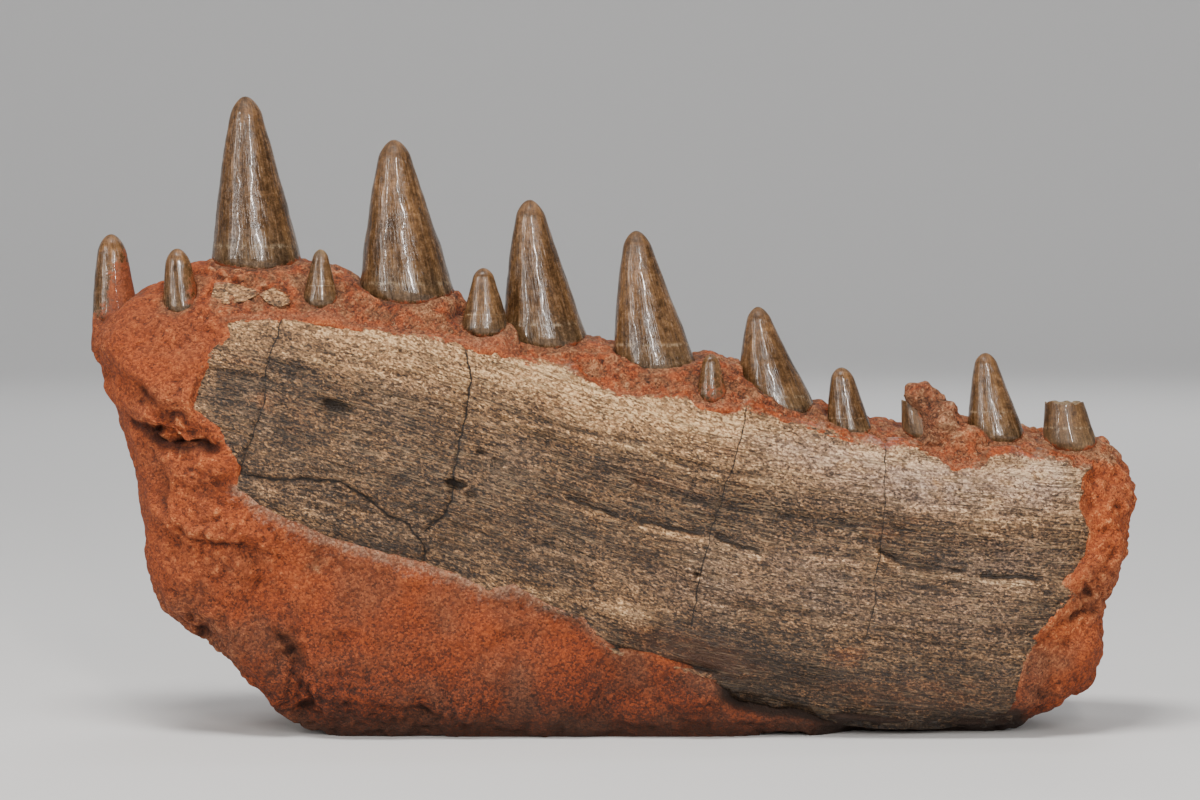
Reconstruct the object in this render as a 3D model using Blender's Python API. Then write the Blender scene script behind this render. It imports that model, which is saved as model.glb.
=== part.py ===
"""A piece of fossil mosasaur jaw: a long jaw bone bared on the front of a block of red sandstone matrix,
with a row of conical teeth standing in the block's ridge. Lengths are in millimetres until a mesh is made.
X runs along the jaw, -Y is the bared side, Z is up, and the block stands on its flat underside at Z = 0."""

import math

import bmesh
import bpy
from mathutils import Matrix, Vector, noise

MM = 0.001
TO_CENTRE = (-0.42, 0.855, 0.0)

# The block: half its greatest thickness, and how each edge rounds away from it
HALF_DEPTH = 44.0
RIDGE_REACH, RIDGE_SHARE, RIDGE_POWER = 62.0, 0.48, 1.6
SIDE_REACH, SIDE_SHARE = 32.0, 0.62
FOOT_REACH, FOOT_SHARE = 16.0, 0.8
RIDGE_CORNER_DROP, RIDGE_CORNER_BAND = 4.0, 14.0
BLOCK_CELLS = (58, 6, 22)
BLOCK_KEEP = 0.34

# The block's outline seen from the front, as four edges that meet at its corners
RIDGE = [(-166.5, 129.5), (-163.5, 132.5), (-154, 140), (-144, 143), (-136.5, 146.5), (-131, 148.5), (-115, 150.5),
         (-97, 150.5), (-89, 147.5), (-80, 143.5), (-65, 139), (-50, 135.5), (-35, 129.5), (-17, 125.5),
         (-1, 123.5), (15, 121), (33, 119), (44, 115), (56, 107), (69, 102), (80, 98.5), (94, 96), (106, 98),
         (115, 98.5), (125, 96), (140, 94.5), (149, 93.5), (157, 92), (160.5, 89.5), (163, 85.5), (167, 81.5)]
LEFT_SIDE = [(-145.5, 44), (-148, 61.5), (-149.5, 76), (-151, 85), (-153, 92), (-158, 103.5), (-162, 110),
             (-163.5, 115), (-167, 120.5), (-166.5, 129.5)]
RIGHT_SIDE = [(154.5, 18), (155.6, 27.5), (155, 35.5), (155, 40.5), (160, 46.5), (163, 54.5), (165, 63.5),
              (167.5, 73), (167, 81.5)]
UNDERSIDE = [(-145.5, 44), (-142, 40), (-139, 37), (-134.5, 33.5), (-128.5, 29), (-123.5, 26), (-117, 19),
             (-109.5, 12), (-102.5, 6), (-94, 1.5), (-87, 0), (125.5, 0), (129, 3), (133.5, 5.5), (139.5, 10),
             (146.5, 12.8), (151.5, 15.5), (154.5, 18)]
FOOT_START, FOOT_END = -88.0, 124.0
FOOT_SPARE = 1.5
ARCH_CENTRE, ARCH_HALF_SPAN, ARCH_RISE, ARCH_BACK = 53.0, 15.0, 1.6, -12.0

# Broken ledges of the front face: a line, the height of its proud upper side, and how far that fades back
LEDGES = [
    ([(-164, 121), (-157.5, 116), (-152.5, 113), (-146, 108), (-139, 102.5), (-131, 102)], 4.5, 16.0),
    ([(-146, 98), (-141, 95), (-136.5, 92.5), (-132, 91.5), (-124, 94)], 4.2, 12.0),
    ([(-142, 86.5), (-138, 82), (-131, 78), (-127, 79.5), (-120, 81.5)], 3.0, 11.0),
    ([(-136, 66), (-131, 63), (-123, 61), (-111, 60.5), (-108, 59.5), (-99, 65), (-87, 60)], 3.4, 13.0),
    ([(-85, 12.5), (-76, 11.5), (-60, 10.5), (-53, 6)], 3.0, 9.0),
    ([(136, 33), (141, 37), (147.5, 39), (156, 40.5)], 2.6, 9.0),
]
LEDGE_SHARPNESS = 1.6

# Crevices broken in under those ledges: a line, its width and its depth
CREVICES = {
    "boulder_crevice": ([(-164, 121), (-157.5, 116), (-152.5, 113), (-146, 108), (-142, 105), (-139, 102.5),
                         (-134.5, 102)], 3.2, 4.5),
    "deep_crevice": ([(-146.5, 99), (-143, 96), (-141, 95), (-136.5, 92.5), (-132, 91.5), (-127.5, 93),
                      (-124, 94.5)], 5.0, 8.0),
    "shelf_crevice": ([(-136, 66), (-131, 63), (-123, 61), (-111, 60.5), (-107, 59.5)], 3.0, 4.0),
    "upright_crack": ([(-108, 75), (-108.5, 68), (-108.5, 60), (-109, 51), (-111, 46.5)], 1.2, 2.4),
    "low_groove": ([(-103, 29), (-99, 22), (-97.5, 18), (-96.5, 8)], 3.4, 3.6),
    "foot_crevice": ([(-85, 12.5), (-76, 11.5), (-60, 10.5), (-53, 6)], 2.6, 3.4),
    "waist_crevice": ([(157, 41), (147.5, 39), (141, 37), (136, 32.5)], 4.0, 4.5),
}
CREVICE_UNDERCUT = 0.35

# Pits broken into the front face: where, how wide, how deep
PITS = [(-129, 32, 5.0, 6.5), (-101, 26.5, 4.5, 3.5), (-96.5, 10, 4.0, 4.0), (-147, 47, 6.0, 2.0),
        (153, 64, 4.0, 2.5), (149, 45, 5.5, 4.0), (150, 27, 6.0, -2.0), (-158, 128, 6.0, -2.0),
        (159, 78, 5.0, -2.0), (-120, 55, 9.0, -1.5)]

# Flat breaks on the back and ends of the block: a point of each plane and the way it faces
BREAKS = [((-60, 40, 60), (-0.15, 1, 0.1)), ((40, 38, 50), (0.12, 1, -0.08)), ((110, 36, 60), (0.45, 1, 0.1)),
          ((-130, 30, 100), (-0.6, 1, 0.15)), ((-20, 36, 105), (0.05, 1, 0.75)), ((70, 30, 85), (0.15, 1, 0.9)),
          ((-110, 30, 125), (-0.2, 1, 0.8)), ((0, 38, 12), (0.0, 1, -0.7)), ((-110, 30, 30), (-0.7, 1, -0.8)),
          ((140, 24, 25), (0.9, 1, -0.6)), ((-162, 10, 110), (-1, 0.7, -0.1)), ((164, 14, 70), (1, 0.6, 0.1))]

# A crust of matrix that still clings to the broken twelfth tooth: centre, half widths
CRUST_CENTRE = (102.0, -12.5, 101.0)
CRUST_HALF = (7.6, 8.5, 9.6)
CRUST_LEAN = 0.6

# The jaw bone: its outline seen from the front, and its thickness
BONE_TOP = [(-122, 130), (-104, 131.5), (-93, 130), (-77, 128), (-67, 126.5), (-54, 125), (-47, 123), (-36.5, 120),
            (-28, 117.5), (-15.5, 115.5), (-7.5, 111), (0, 107.5), (9, 106), (21, 106), (34.5, 102), (43.5, 103),
            (55.5, 99), (70.5, 94.5), (85.5, 90), (95, 90), (101, 87.5), (107.5, 84), (115.5, 85), (125, 88),
            (136, 87), (143, 85.5), (150.5, 83.5)]
BONE_FOOT = [(-118, 79), (-110, 72.5), (-99, 67), (-88, 62), (-75, 58.5), (-59, 54), (-48.5, 50.5), (-39, 46),
             (-31, 47.5), (-21, 41.5), (-10, 37.5), (-7, 34), (0, 27), (12, 26), (21, 22), (30, 18.5), (43, 14.5),
             (51, 12.5), (62, 10), (76, 7.5), (90, 6), (108, 4.5), (128, 4)]
BONE_LEFT = [(-118, 79), (-117.5, 85.5), (-120.5, 92.5), (-123.5, 98), (-127.5, 100), (-131.5, 103), (-129, 113),
             (-124.5, 122), (-120.5, 126), (-122, 130)]
BONE_RIGHT = [(128, 4), (126.5, 10), (127.5, 17), (129, 24), (130.5, 28), (132, 32.5), (135.5, 35.5), (139.5, 40.5),
              (143.5, 45.5), (141, 48), (145, 51.5), (149.5, 57.5), (150, 63), (149.5, 66), (147, 70), (147, 74.5),
              (148.5, 80), (150.5, 83.5)]
BONE_CELLS = (29, 1, 13)
BONE_PROUD = 1.8
BONE_TOP_THICK, BONE_FOOT_THICK, BONE_THICK = 5.2, 9.0, 15.0
BONE_ROLL_START, BONE_ROLL = 0.84, 6.0

# Two chips of the same bone that show through the matrix above it
CHIPS = {
    "bone_chip_left": [(-126, 136.5), (-125, 142), (-121.5, 142.5), (-114, 140.5), (-111.8, 139), (-116, 136.5),
                       (-119.5, 135.5)],
    "bone_chip_right": [(-110.6, 138.7), (-107, 140.5), (-103, 138.5), (-101.5, 136), (-104.5, 134.6), (-108, 135.6)],
}
CHIP_THICK, CHIP_PROUD = 4.0, 0.7

FIT_GAP = 0.5

# The teeth, from the back of the jaw: tip x and z, base x and z, width, depth, the share of the crown kept, and how
# much of its width the crown loses on the way up
TEETH = {
    "tooth_01": (-160.5, 157.5, -159.0, 131.5, 13.4, -8.0, 1.0, 0.45),
    "tooth_02": (-137.5, 153.0, -136.0, 134.5, 11.8, -23.0, 1.0, 0.45),
    "tooth_03": (-117.4, 201.5, -114.0, 148.5, 28.8, -7.0, 1.0, 0.735),
    "tooth_04": (-92.2, 152.8, -92.3, 136.5, 11.0, -24.0, 1.0, 0.58),
    "tooth_05": (-69.9, 187.7, -65.8, 138.0, 30.5, -7.0, 1.0, 0.755),
    "tooth_06": (-41.0, 146.8, -40.5, 127.5, 15.2, -18.5, 1.0, 0.68),
    "tooth_07": (-26.5, 168.5, -21.5, 123.5, 27.0, -7.5, 1.0, 0.75),
    "tooth_08": (7.6, 158.6, 14.0, 115.0, 26.6, -8.5, 1.0, 0.755),
    "tooth_09": (31.0, 118.5, 31.2, 108.4, 7.6, -25.0, 1.0, 0.5),
    "tooth_10": (46.6, 134.3, 53.0, 102.0, 24.4, -9.0, 1.0, 0.79),
    "tooth_11": (73.1, 115.0, 76.0, 95.0, 14.2, -13.0, 1.0, 0.6),
    "tooth_12": (95.0, 118.0, 99.5, 94.0, 13.4, -12.5, 0.44, 0.76),
    "tooth_13": (119.2, 119.6, 123.0, 93.0, 18.4, -11.5, 1.0, 0.71),
    "tooth_14": (142.5, 122.0, 146.5, 91.0, 17.0, -12.0, 0.42, 0.76),
}
BIG_TOOTH = 20.0
BIG_SIDES, SMALL_SIDES = 14, 10
TOOTH_FLATTEN = 0.94
ROOT_SHARE, ROOT_LEAST = 0.14, 3.8
TAPER_POWER, TIP_SHARE = 1.15, 0.12
LEAN_CURVE = 1.4
BLUNT_TAPER, BLUNT_TIP = 0.73, 0.53


def on_line(points, x):
    """Height of a line at x, straight between its points and level beyond them."""
    if x <= points[0][0]:
        return points[0][1]
    for (x0, z0), (x1, z1) in zip(points, points[1:]):
        if x <= x1:
            return z0 + (z1 - z0) * (x - x0) / (x1 - x0)
    return points[-1][1]


def across(points, z):
    """Where a side that climbs lies at a height, the nearest end beyond it."""
    return on_line([(height, x) for x, height in points], z)


def point_along(points, share):
    """The point at a share of a line's whole length."""
    spans = [math.dist(a, b) for a, b in zip(points, points[1:])]
    left = share * sum(spans)
    for a, b, span in zip(points, points[1:], spans):
        if left <= span:
            return Vector(a).lerp(Vector(b), left / span)
        left -= span
    return Vector(points[-1])


def patch_point(foot, top, left, right, s, t):
    """A point of the sheet stretched between four edges, s along it and t up it."""
    ruled = point_along(foot, s) * (1 - t) + point_along(top, s) * t
    ruled += point_along(left, t) * (1 - s) + point_along(right, t) * s
    low = Vector(foot[0]) * (1 - s) + Vector(foot[-1]) * s
    high = Vector(top[0]) * (1 - s) + Vector(top[-1]) * s
    return ruled - low * (1 - t) - high * t


def swell(gap, reach, least, power=2.0):
    """Share of full depth at a distance in from an edge, rounding up from the least share."""
    near = min(1.0, max(0.0, 1.0 - gap / reach))
    rise = math.sqrt(1.0 - near * near) if power == 2.0 else 1.0 - near**power
    return least + (1.0 - least) * rise


def front_depth(x, z):
    """Half thickness of the block at a point of its front view."""
    depth = HALF_DEPTH * swell(on_line(RIDGE, x) - z, RIDGE_REACH, RIDGE_SHARE, RIDGE_POWER)
    depth *= swell(x - across(LEFT_SIDE, z), SIDE_REACH, SIDE_SHARE)
    depth *= swell(across(RIGHT_SIDE, z) - x, SIDE_REACH, SIDE_SHARE)
    return depth * swell(z - on_line(UNDERSIDE, x), FOOT_REACH, FOOT_SHARE)


def bump(distance, width):
    return math.exp(-((distance / width) ** 2))


def bone_relief(x, z):
    """How far the bone's face stands out: a rounded upper band, a long hollow, a low ridge, a foot that rolls under."""
    top, foot = on_line(BONE_TOP, x), on_line(BONE_FOOT, x)
    down = (top - z) / (top - foot)
    strength = min(1.0, max(0.35, (x + 130) / 110))
    rise = 2.2 * bump(down - 0.15, 0.13) - 4.2 * strength * bump(down - 0.38, 0.11)
    rise += 1.3 * strength * bump(down - 0.55, 0.08)
    rolled = max(0.0, (down - BONE_ROLL_START) / (1 - BONE_ROLL_START))
    return rise - BONE_ROLL * min(1.0, max(0.0, x / 60)) * rolled * rolled


def ledge_rise(x, z):
    """Height of the broken ledges: proud above each line, dropping off sharply below it."""
    rise = 0.0
    here = Vector((x, z))
    for line, height, fade in LEDGES:
        best = None
        for a, b in zip(line, line[1:]):
            start, step = Vector(a), Vector(b) - Vector(a)
            share = min(1.0, max(0.0, (here - start).dot(step) / step.length_squared))
            away = here - start - step * share
            if best is None or away.length < abs(best):
                best = away.length if step.x * away.y - step.y * away.x > 0 else -away.length
        above = 1.0 / (1.0 + math.exp(-best * LEDGE_SHARPNESS))
        rise += height * above * math.exp(-max(0.0, best) / fade) - 0.5 * height * (1 - above) * math.exp(best / 5.0)
    return rise


def pit_depth(x, z):
    return sum(depth * bump(math.hypot(x - px, z - pz), width) for px, pz, width, depth in PITS)


def lumps(place, grain, height):
    return noise.fractal(place / grain, 0.9, 2.1, 3) * height


def cell_box(cells):
    """A box from -1 to 1 cut into cells along X, Y and Z."""
    bm = bmesh.new()
    bmesh.ops.create_cube(bm, size=2.0)
    for axis, count in enumerate(cells):
        if count < 2:
            continue
        along = [e for e in bm.edges if abs(abs((e.verts[1].co - e.verts[0].co).normalized()[axis]) - 1) < 1e-4]
        bmesh.ops.subdivide_edges(bm, edges=along, cuts=count - 1, use_grid_fill=True)
    bmesh.ops.triangulate(bm, faces=bm.faces, quad_method="FIXED")
    return bm


def make_object(name, bm, finish=None, smooth=True):
    """Turns a bmesh in millimetres into an object in metres."""
    bmesh.ops.recalc_face_normals(bm, faces=bm.faces)
    bmesh.ops.translate(bm, vec=TO_CENTRE, verts=bm.verts)
    bmesh.ops.scale(bm, vec=(MM, MM, MM), verts=bm.verts)
    mesh = bpy.data.meshes.new(name)
    bm.to_mesh(mesh)
    bm.free()
    if smooth:
        mesh.shade_smooth()
    if finish:
        mesh.materials.append(finish)
    made = bpy.data.objects.new(name, mesh)
    bpy.context.scene.collection.objects.link(made)
    return made


def finish_of(name, colour, roughness):
    made = bpy.data.materials.new(name)
    made.use_nodes = True
    shader = made.node_tree.nodes["Principled BSDF"]
    shader.inputs["Base Color"].default_value = (*colour, 1.0)
    shader.inputs["Roughness"].default_value = roughness
    shader.inputs["Metallic"].default_value = 0.0
    return made


def make_cutter(name, bm, group):
    """A hidden shape that only takes part in Booleans."""
    made = make_object(name, bm)
    made.hide_render = True
    made.display_type = "WIRE"
    bpy.context.scene.collection.objects.unlink(made)
    group.objects.link(made)


def new_group(name):
    group = bpy.data.collections.new(name)
    bpy.context.scene.collection.children.link(group)
    return group


def combine(target, group, how):
    boolean = target.modifiers.new(group.name, "BOOLEAN")
    boolean.operation = how
    boolean.operand_type = "COLLECTION"
    boolean.collection = group
    boolean.solver = "EXACT"


def grown_copy(bm):
    """A copy of a shape whose skin lies the fitting gap further out."""
    grown = bm.copy()
    bmesh.ops.recalc_face_normals(grown, faces=grown.faces)
    grown.normal_update()
    moves = [(v, v.normal * min(1.8, v.calc_shell_factor())) for v in grown.verts]
    for v, move in moves:
        v.co += move * FIT_GAP
    return grown


def shape_block():
    """The matrix block: a box fitted to the outline, rounded, broken back and roughened."""
    bm = cell_box(BLOCK_CELLS)
    places = {}
    for v in bm.verts:
        s, side, t = (v.co.x + 1) / 2, v.co.y, (v.co.z + 1) / 2
        x, z = patch_point(UNDERSIDE, RIDGE, LEFT_SIDE, RIGHT_SIDE, s, t)
        depth = front_depth(x, z)
        if side < 0:
            depth += ledge_rise(x, z) - pit_depth(x, z)
        below_ridge = on_line(RIDGE, x) - z
        corner = abs(side) ** 3
        z -= RIDGE_CORNER_DROP * corner * max(0.0, 1 - below_ridge / RIDGE_CORNER_BAND)
        places[v] = (Vector((x, side * depth, z)), v.co.z < -0.999 and FOOT_START <= x <= FOOT_END)
    for v, (place, _) in places.items():
        v.co = place
    for point, facing in BREAKS:
        normal = Vector(facing).normalized()
        for v in bm.verts:
            outside = (v.co - Vector(point)).dot(normal)
            if outside > 0:
                v.co -= normal * outside
    bmesh.ops.recalc_face_normals(bm, faces=bm.faces)
    bm.normal_update()
    moves = [(v, v.normal * (lumps(v.co, 26.0, 2.0) + lumps(v.co, 9.0, 0.9))) for v in bm.verts]
    for v, move in moves:
        v.co += Vector((move.x * 0.35, move.y, move.z * 0.35))
    for v, (_, on_foot) in places.items():
        if on_foot:
            v.co.z = foot_height(v.co.x, v.co.y)
        v.co.z = max(v.co.z, -FOOT_SPARE)
    return bm


def foot_height(x, y):
    """The underside before it is trimmed flat, with a low arch broken out of its front."""
    out = abs(x - ARCH_CENTRE) / ARCH_HALF_SPAN
    if out >= 1 or y > ARCH_BACK:
        return -FOOT_SPARE
    return (ARCH_RISE + FOOT_SPARE) * (1 - out * out) - FOOT_SPARE


def shape_crevice(line, width, depth):
    """A wedge that follows a line on the front face, thin at both ends, its floor drawn in under the upper lip."""
    bm = bmesh.new()
    rings = []
    for i, (x, z) in enumerate(line):
        before, after = line[max(0, i - 1)], line[min(len(line) - 1, i + 1)]
        along = Vector((after[0] - before[0], after[1] - before[1])).normalized()
        up = Vector((-along.y, along.x))
        if up.y < 0:
            up = -up
        strength = 1.0 if 0 < i < len(line) - 1 else 0.25
        face = -front_depth(x, z) - ledge_rise(x, z) + pit_depth(x, z)
        upper = Vector((x, z)) + up * width * strength / 2
        lower = Vector((x, z)) - up * width * strength / 2
        floor = Vector((x, z)) + up * depth * strength * CREVICE_UNDERCUT
        rings.append([bm.verts.new((upper.x, face - 4, upper.y)), bm.verts.new((lower.x, face - 4, lower.y)),
                      bm.verts.new((floor.x, face + depth * strength, floor.y))])
    for a, b in zip(rings, rings[1:]):
        for k in range(3):
            bm.faces.new((a[k], a[(k + 1) % 3], b[(k + 1) % 3], b[k]))
    bm.faces.new(rings[0])
    bm.faces.new(rings[-1])
    bmesh.ops.triangulate(bm, faces=bm.faces)
    return bm


def shape_foot_trim():
    """A slab whose top is the flat that the block stands on."""
    bm = bmesh.new()
    bmesh.ops.create_cube(bm, size=1.0)
    bmesh.ops.scale(bm, vec=(500, 200, 20), verts=bm.verts)
    bmesh.ops.translate(bm, vec=(0, 0, -10), verts=bm.verts)
    return bm


def shape_bone(open_front=False):
    """The bared side of the jaw bone, a slab whose face follows the block and stands a little proud of it.
    With an open front it is the shape of the bone's bed, which reaches out past the block."""
    bm = cell_box(BONE_CELLS)
    for v in bm.verts:
        s, side, t = (v.co.x + 1) / 2, v.co.y, (v.co.z + 1) / 2
        x, z = patch_point(BONE_FOOT, BONE_TOP, BONE_LEFT, BONE_RIGHT, s, t)
        inner = min(1.0, 6 * min(s, 1 - s, t, 1 - t))
        if side > 0:
            edge_thick = BONE_FOOT_THICK + (BONE_TOP_THICK - BONE_FOOT_THICK) * t
            y = -front_depth(x, z) + edge_thick + (BONE_THICK - edge_thick) * inner
        elif open_front:
            y = -HALF_DEPTH - 20
        else:
            edge_drop = 1.2 * (1 - inner) ** 3
            wave = lumps(Vector((x, 0, z * 2.5)), 30.0, 0.6)
            y = -front_depth(x, z) - BONE_PROUD - bone_relief(x, z) + edge_drop - wave
        v.co = (x, y, z)
    return bm


def shape_chip(outline):
    """A thin plate of bone that lies in the slope above the jaw bone."""
    bm = bmesh.new()
    corners = [bm.verts.new((x, -front_depth(x, z) - CHIP_PROUD, z)) for x, z in outline]
    face = bm.faces.new(corners)
    back = bmesh.ops.extrude_face_region(bm, geom=[face])["geom"]
    for v in back:
        if isinstance(v, bmesh.types.BMVert):
            v.co.y += CHIP_THICK
    bmesh.ops.triangulate(bm, faces=[f for f in bm.faces if len(f.verts) > 4])
    bmesh.ops.recalc_face_normals(bm, faces=bm.faces)
    return bm


def crown_radius(share, taper):
    """Radius of a crown at a share of its height, of its radius at the base; a blunt one is rounded further down."""
    radius = 1.0 - taper * share**TAPER_POWER
    tip = TIP_SHARE + BLUNT_TIP * max(0.0, BLUNT_TAPER - taper)
    if share > 1 - tip:
        over = (share - 1 + tip) / tip
        radius *= math.sqrt(max(0.0, 1 - over * over))
    return radius


def shape_tooth(tip_x, tip_z, base_x, base_z, width, depth, kept, taper):
    """A tooth turned about its own axis, then leaned back towards its tip; a broken one stops short."""
    big = width > BIG_TOOTH
    height = tip_z - base_z
    root = max(ROOT_LEAST, ROOT_SHARE * height)
    shares = [0.0, 0.2, 0.4, 0.6, 0.76, 0.88, 0.94, 0.985] if big else [0.0, 0.3, 0.55, 0.75, 0.88, 0.965]
    shares = [s for s in shares if s < kept - 0.04]
    if kept < 1:
        shares += [kept - 0.02, kept]
    rings = [(-root, 0.8)] + [(s * height, crown_radius(s, taper)) for s in shares]
    profile = [(-root, 0.0)] + rings + [((kept if kept < 1 else 1.0) * height, 0.0)]
    if kept < 1:
        profile[-2] = (profile[-2][0], profile[-2][1] * 0.86)
    bm = bmesh.new()
    verts = [bm.verts.new((radius * width / 2, 0, z)) for z, radius in profile]
    edges = [bm.edges.new(pair) for pair in zip(verts, verts[1:])]
    bmesh.ops.spin(bm, geom=verts + edges, cent=(0, 0, 0), axis=(0, 0, 1), angle=math.tau,
                   steps=BIG_SIDES if big else SMALL_SIDES, use_merge=True)
    bmesh.ops.remove_doubles(bm, verts=bm.verts, dist=0.001)
    for v in bm.verts:
        share = v.co.z / height
        lean = (tip_x - base_x) * (1 - max(0.0, 1 - share) ** LEAN_CURVE)
        v.co = (base_x + lean + v.co.x, depth + v.co.y * TOOTH_FLATTEN, base_z + v.co.z)
    bmesh.ops.triangulate(bm, faces=bm.faces)
    return bm


def shape_crust():
    """The lump of matrix that clings to the broken twelfth tooth."""
    bm = bmesh.new()
    bmesh.ops.create_icosphere(bm, subdivisions=2, radius=1.0)
    for v in bm.verts:
        rough = 1 + 0.1 * noise.noise(v.co * 2.3)
        place = Vector([c * half * rough for c, half in zip(v.co, CRUST_HALF)])
        place.x -= place.z * CRUST_LEAN
        v.co = place + Vector(CRUST_CENTRE)
    return bm


for old in list(bpy.data.objects):
    bpy.data.objects.remove(old)

red_matrix = finish_of("red_matrix", (0.42, 0.14, 0.06), 0.92)
grey_bone = finish_of("grey_bone", (0.27, 0.21, 0.15), 0.7)
brown_enamel = finish_of("brown_enamel", (0.2, 0.12, 0.05), 0.25)

added = new_group("added_to_block")
beds = new_group("beds_in_block")

block = make_object("matrix_block", shape_block(), red_matrix, smooth=False)
fewer = block.modifiers.new("fewer_faces", "DECIMATE")
fewer.ratio = BLOCK_KEEP
make_cutter("crust_lump", shape_crust(), added)
make_cutter("foot_trim", shape_foot_trim(), beds)
for crevice_name, crevice in CREVICES.items():
    make_cutter(crevice_name, shape_crevice(*crevice), beds)

make_cutter("jaw_bone_bed", grown_copy(shape_bone(open_front=True)), beds)
make_object("jaw_bone", shape_bone(), grey_bone)

for chip_name, chip_outline in CHIPS.items():
    chip_shape = shape_chip(chip_outline)
    make_cutter(chip_name + "_bed", grown_copy(chip_shape), beds)
    make_object(chip_name, chip_shape, grey_bone)

for tooth_name, sizes in TEETH.items():
    tooth_shape = shape_tooth(*sizes)
    make_cutter(tooth_name + "_socket", grown_copy(tooth_shape), beds)
    make_object(tooth_name, tooth_shape, brown_enamel)

combine(block, added, "UNION")
combine(block, beds, "DIFFERENCE")
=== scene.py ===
import math

import bmesh
import bpy
import numpy as np
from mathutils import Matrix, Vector, noise
from mathutils.bvhtree import BVHTree


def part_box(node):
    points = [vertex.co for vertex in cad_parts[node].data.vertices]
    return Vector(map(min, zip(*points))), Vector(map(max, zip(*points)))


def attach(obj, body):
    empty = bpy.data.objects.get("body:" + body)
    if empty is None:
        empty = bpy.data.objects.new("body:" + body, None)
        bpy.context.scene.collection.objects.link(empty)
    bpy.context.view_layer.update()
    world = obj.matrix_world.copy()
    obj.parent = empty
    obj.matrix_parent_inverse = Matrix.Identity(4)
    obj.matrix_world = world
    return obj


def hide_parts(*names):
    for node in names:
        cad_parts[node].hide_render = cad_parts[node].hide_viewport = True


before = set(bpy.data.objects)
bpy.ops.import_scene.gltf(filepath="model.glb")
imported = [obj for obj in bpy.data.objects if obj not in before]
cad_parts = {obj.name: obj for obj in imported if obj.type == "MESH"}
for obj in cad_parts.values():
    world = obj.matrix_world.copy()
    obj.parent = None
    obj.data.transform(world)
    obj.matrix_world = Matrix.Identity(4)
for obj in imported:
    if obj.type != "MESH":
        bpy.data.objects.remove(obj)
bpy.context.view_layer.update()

# The matrix block. A broken lump of red-orange sandstone that still holds the jaw. It is made from the solid
# block with the bone and the roots set in it, cut again into even small cells, so that the rock closes round
# them with no gap. Then its lumps, ledges, crevices, pits and collars round the teeth are pushed into it.
MM = 0.001
# The frame's x and y lie this far from those of the places below, which are in millimetres
SHIFT_X, SHIFT_Y = -0.42, 0.855
BLOCK_CELL = 1.05
BACK_KEPT = 0.22
# How far the roots reach out of the solid rock, and how much narrower than the teeth they are there
ROOT_OUT, ROOT_SHRINK = 1.0, 0.08
# The most that the broken surface is sunk or raised, and how far it stays inside the solid block's box
SUNK, RAISED, INSIDE = -3.2, 1.3, 0.02
# How deep a tooth is for its width
TOOTH_DEPTH = 0.94
# Along the jaw: where the bone starts to overhang, and where the foot that rolls under starts and ends
OVERHANG_STARTS, FOOT_STARTS, FOOT_ENDS = (31, 38), (62, 76), (133, 126)
FAR = 99.0
CHIPS = ("bone_chip_left", "bone_chip_right")
# Rough places: x, z, radius, extra roughness
ROUGH_PLACES = [
    (-143, 103, 10, 0.9), (-133, 92, 9, 0.9), (-128, 33, 8, 0.8), (-99, 24, 8, 0.7), (-97, 8, 9, 0.9),
    (153, 60, 16, 0.6), (147, 40, 9, 0.5), (160, 80, 9, 0.4), (-122, 70, 12, 0.7), (130, 12, 8, 0.4),
    (-158, 122, 9, 0.5), (100, 104, 9, 0.9), (-70, 8, 30, 0.4), (112, 100, 10, 0.8), (-135, 140, 14, 0.5)]
# Calm places, where the rock parted along a flat: x, z, half length, half height
CALM_PLACES = [
    (-72, 34, 48, 20), (-20, 22, 40, 12), (-147, 62, 6, 26), (-150, 112, 12, 8), (147, 26, 9, 9)]
# Crevices: points (x, z), width above, width below, depth. The rock above stands proud and the rock below is
# set back, and comes forward again slowly.
CREVICES = [
    ([(-166, 122), (-157.5, 116), (-152.5, 113), (-146, 108), (-142, 105), (-139, 102.5),
      (-133, 102)], 1, 6.5, 3.4),
    ([(-148, 99), (-143, 96), (-141, 95), (-136.5, 92.5), (-132, 91.5), (-127, 93)], 1.3, 4, 6.5),
    ([(-142, 86.5), (-138, 82), (-131, 78), (-127, 79.5), (-118, 81.5)], 0.7, 8, 1.9),
    ([(-145.5, 92), (-140.5, 84), (-139.5, 75), (-137, 65), (-132, 60)], 1.2, 5.5, 3.2),
    ([(-137, 66), (-131, 63), (-123, 61), (-111, 60.5), (-107, 59.5)], 0.8, 5, 3),
    ([(-107, 62.5), (-99, 64.5), (-93, 63), (-87, 60)], 1, 4, 1.1),
    ([(-108, 77), (-108.5, 68), (-108.5, 60), (-109, 55), (-109, 51), (-111, 47)], 0.5, 1.4, 1.6),
    ([(-104, 31), (-100, 25), (-98, 19), (-97, 14), (-96.5, 7)], 2.4, 1.4, 3.2),
    ([(-86, 12.5), (-76, 11.5), (-68, 11), (-60, 10.5), (-54, 6)], 1, 4, 3),
    ([(-95, 34), (-88.5, 32.5), (-80, 33.5)], 0.6, 3.5, 1),
    ([(158, 41), (147.5, 39), (141, 37), (136, 32.5)], 1.2, 5, 3.6),
    ([(-165, 127), (-155, 119.5), (-150, 117)], 0.6, 2.5, 1.2),
    ([(-149, 122), (-143, 126), (-136, 130)], 0.5, 2.5, 0.9),
    ([(34, 11.5), (46, 12), (57, 9.5), (68, 7.5), (82, 4)], 1, 3, 3.6),
    ([(-132, 146), (-122, 143.5), (-112, 140), (-104, 139)], 0.5, 1.8, 1.3),
    ([(-60, 128.5), (-52, 128), (-44, 125)], 0.5, 2, 1),
    ([(84, 97), (92, 93.5), (101, 91.5), (110, 89)], 0.7, 2.5, 1.4),
    ([(143, 91.5), (147.5, 88.5), (152, 89), (156, 93)], 0.9, 2, 2.4)]
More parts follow.
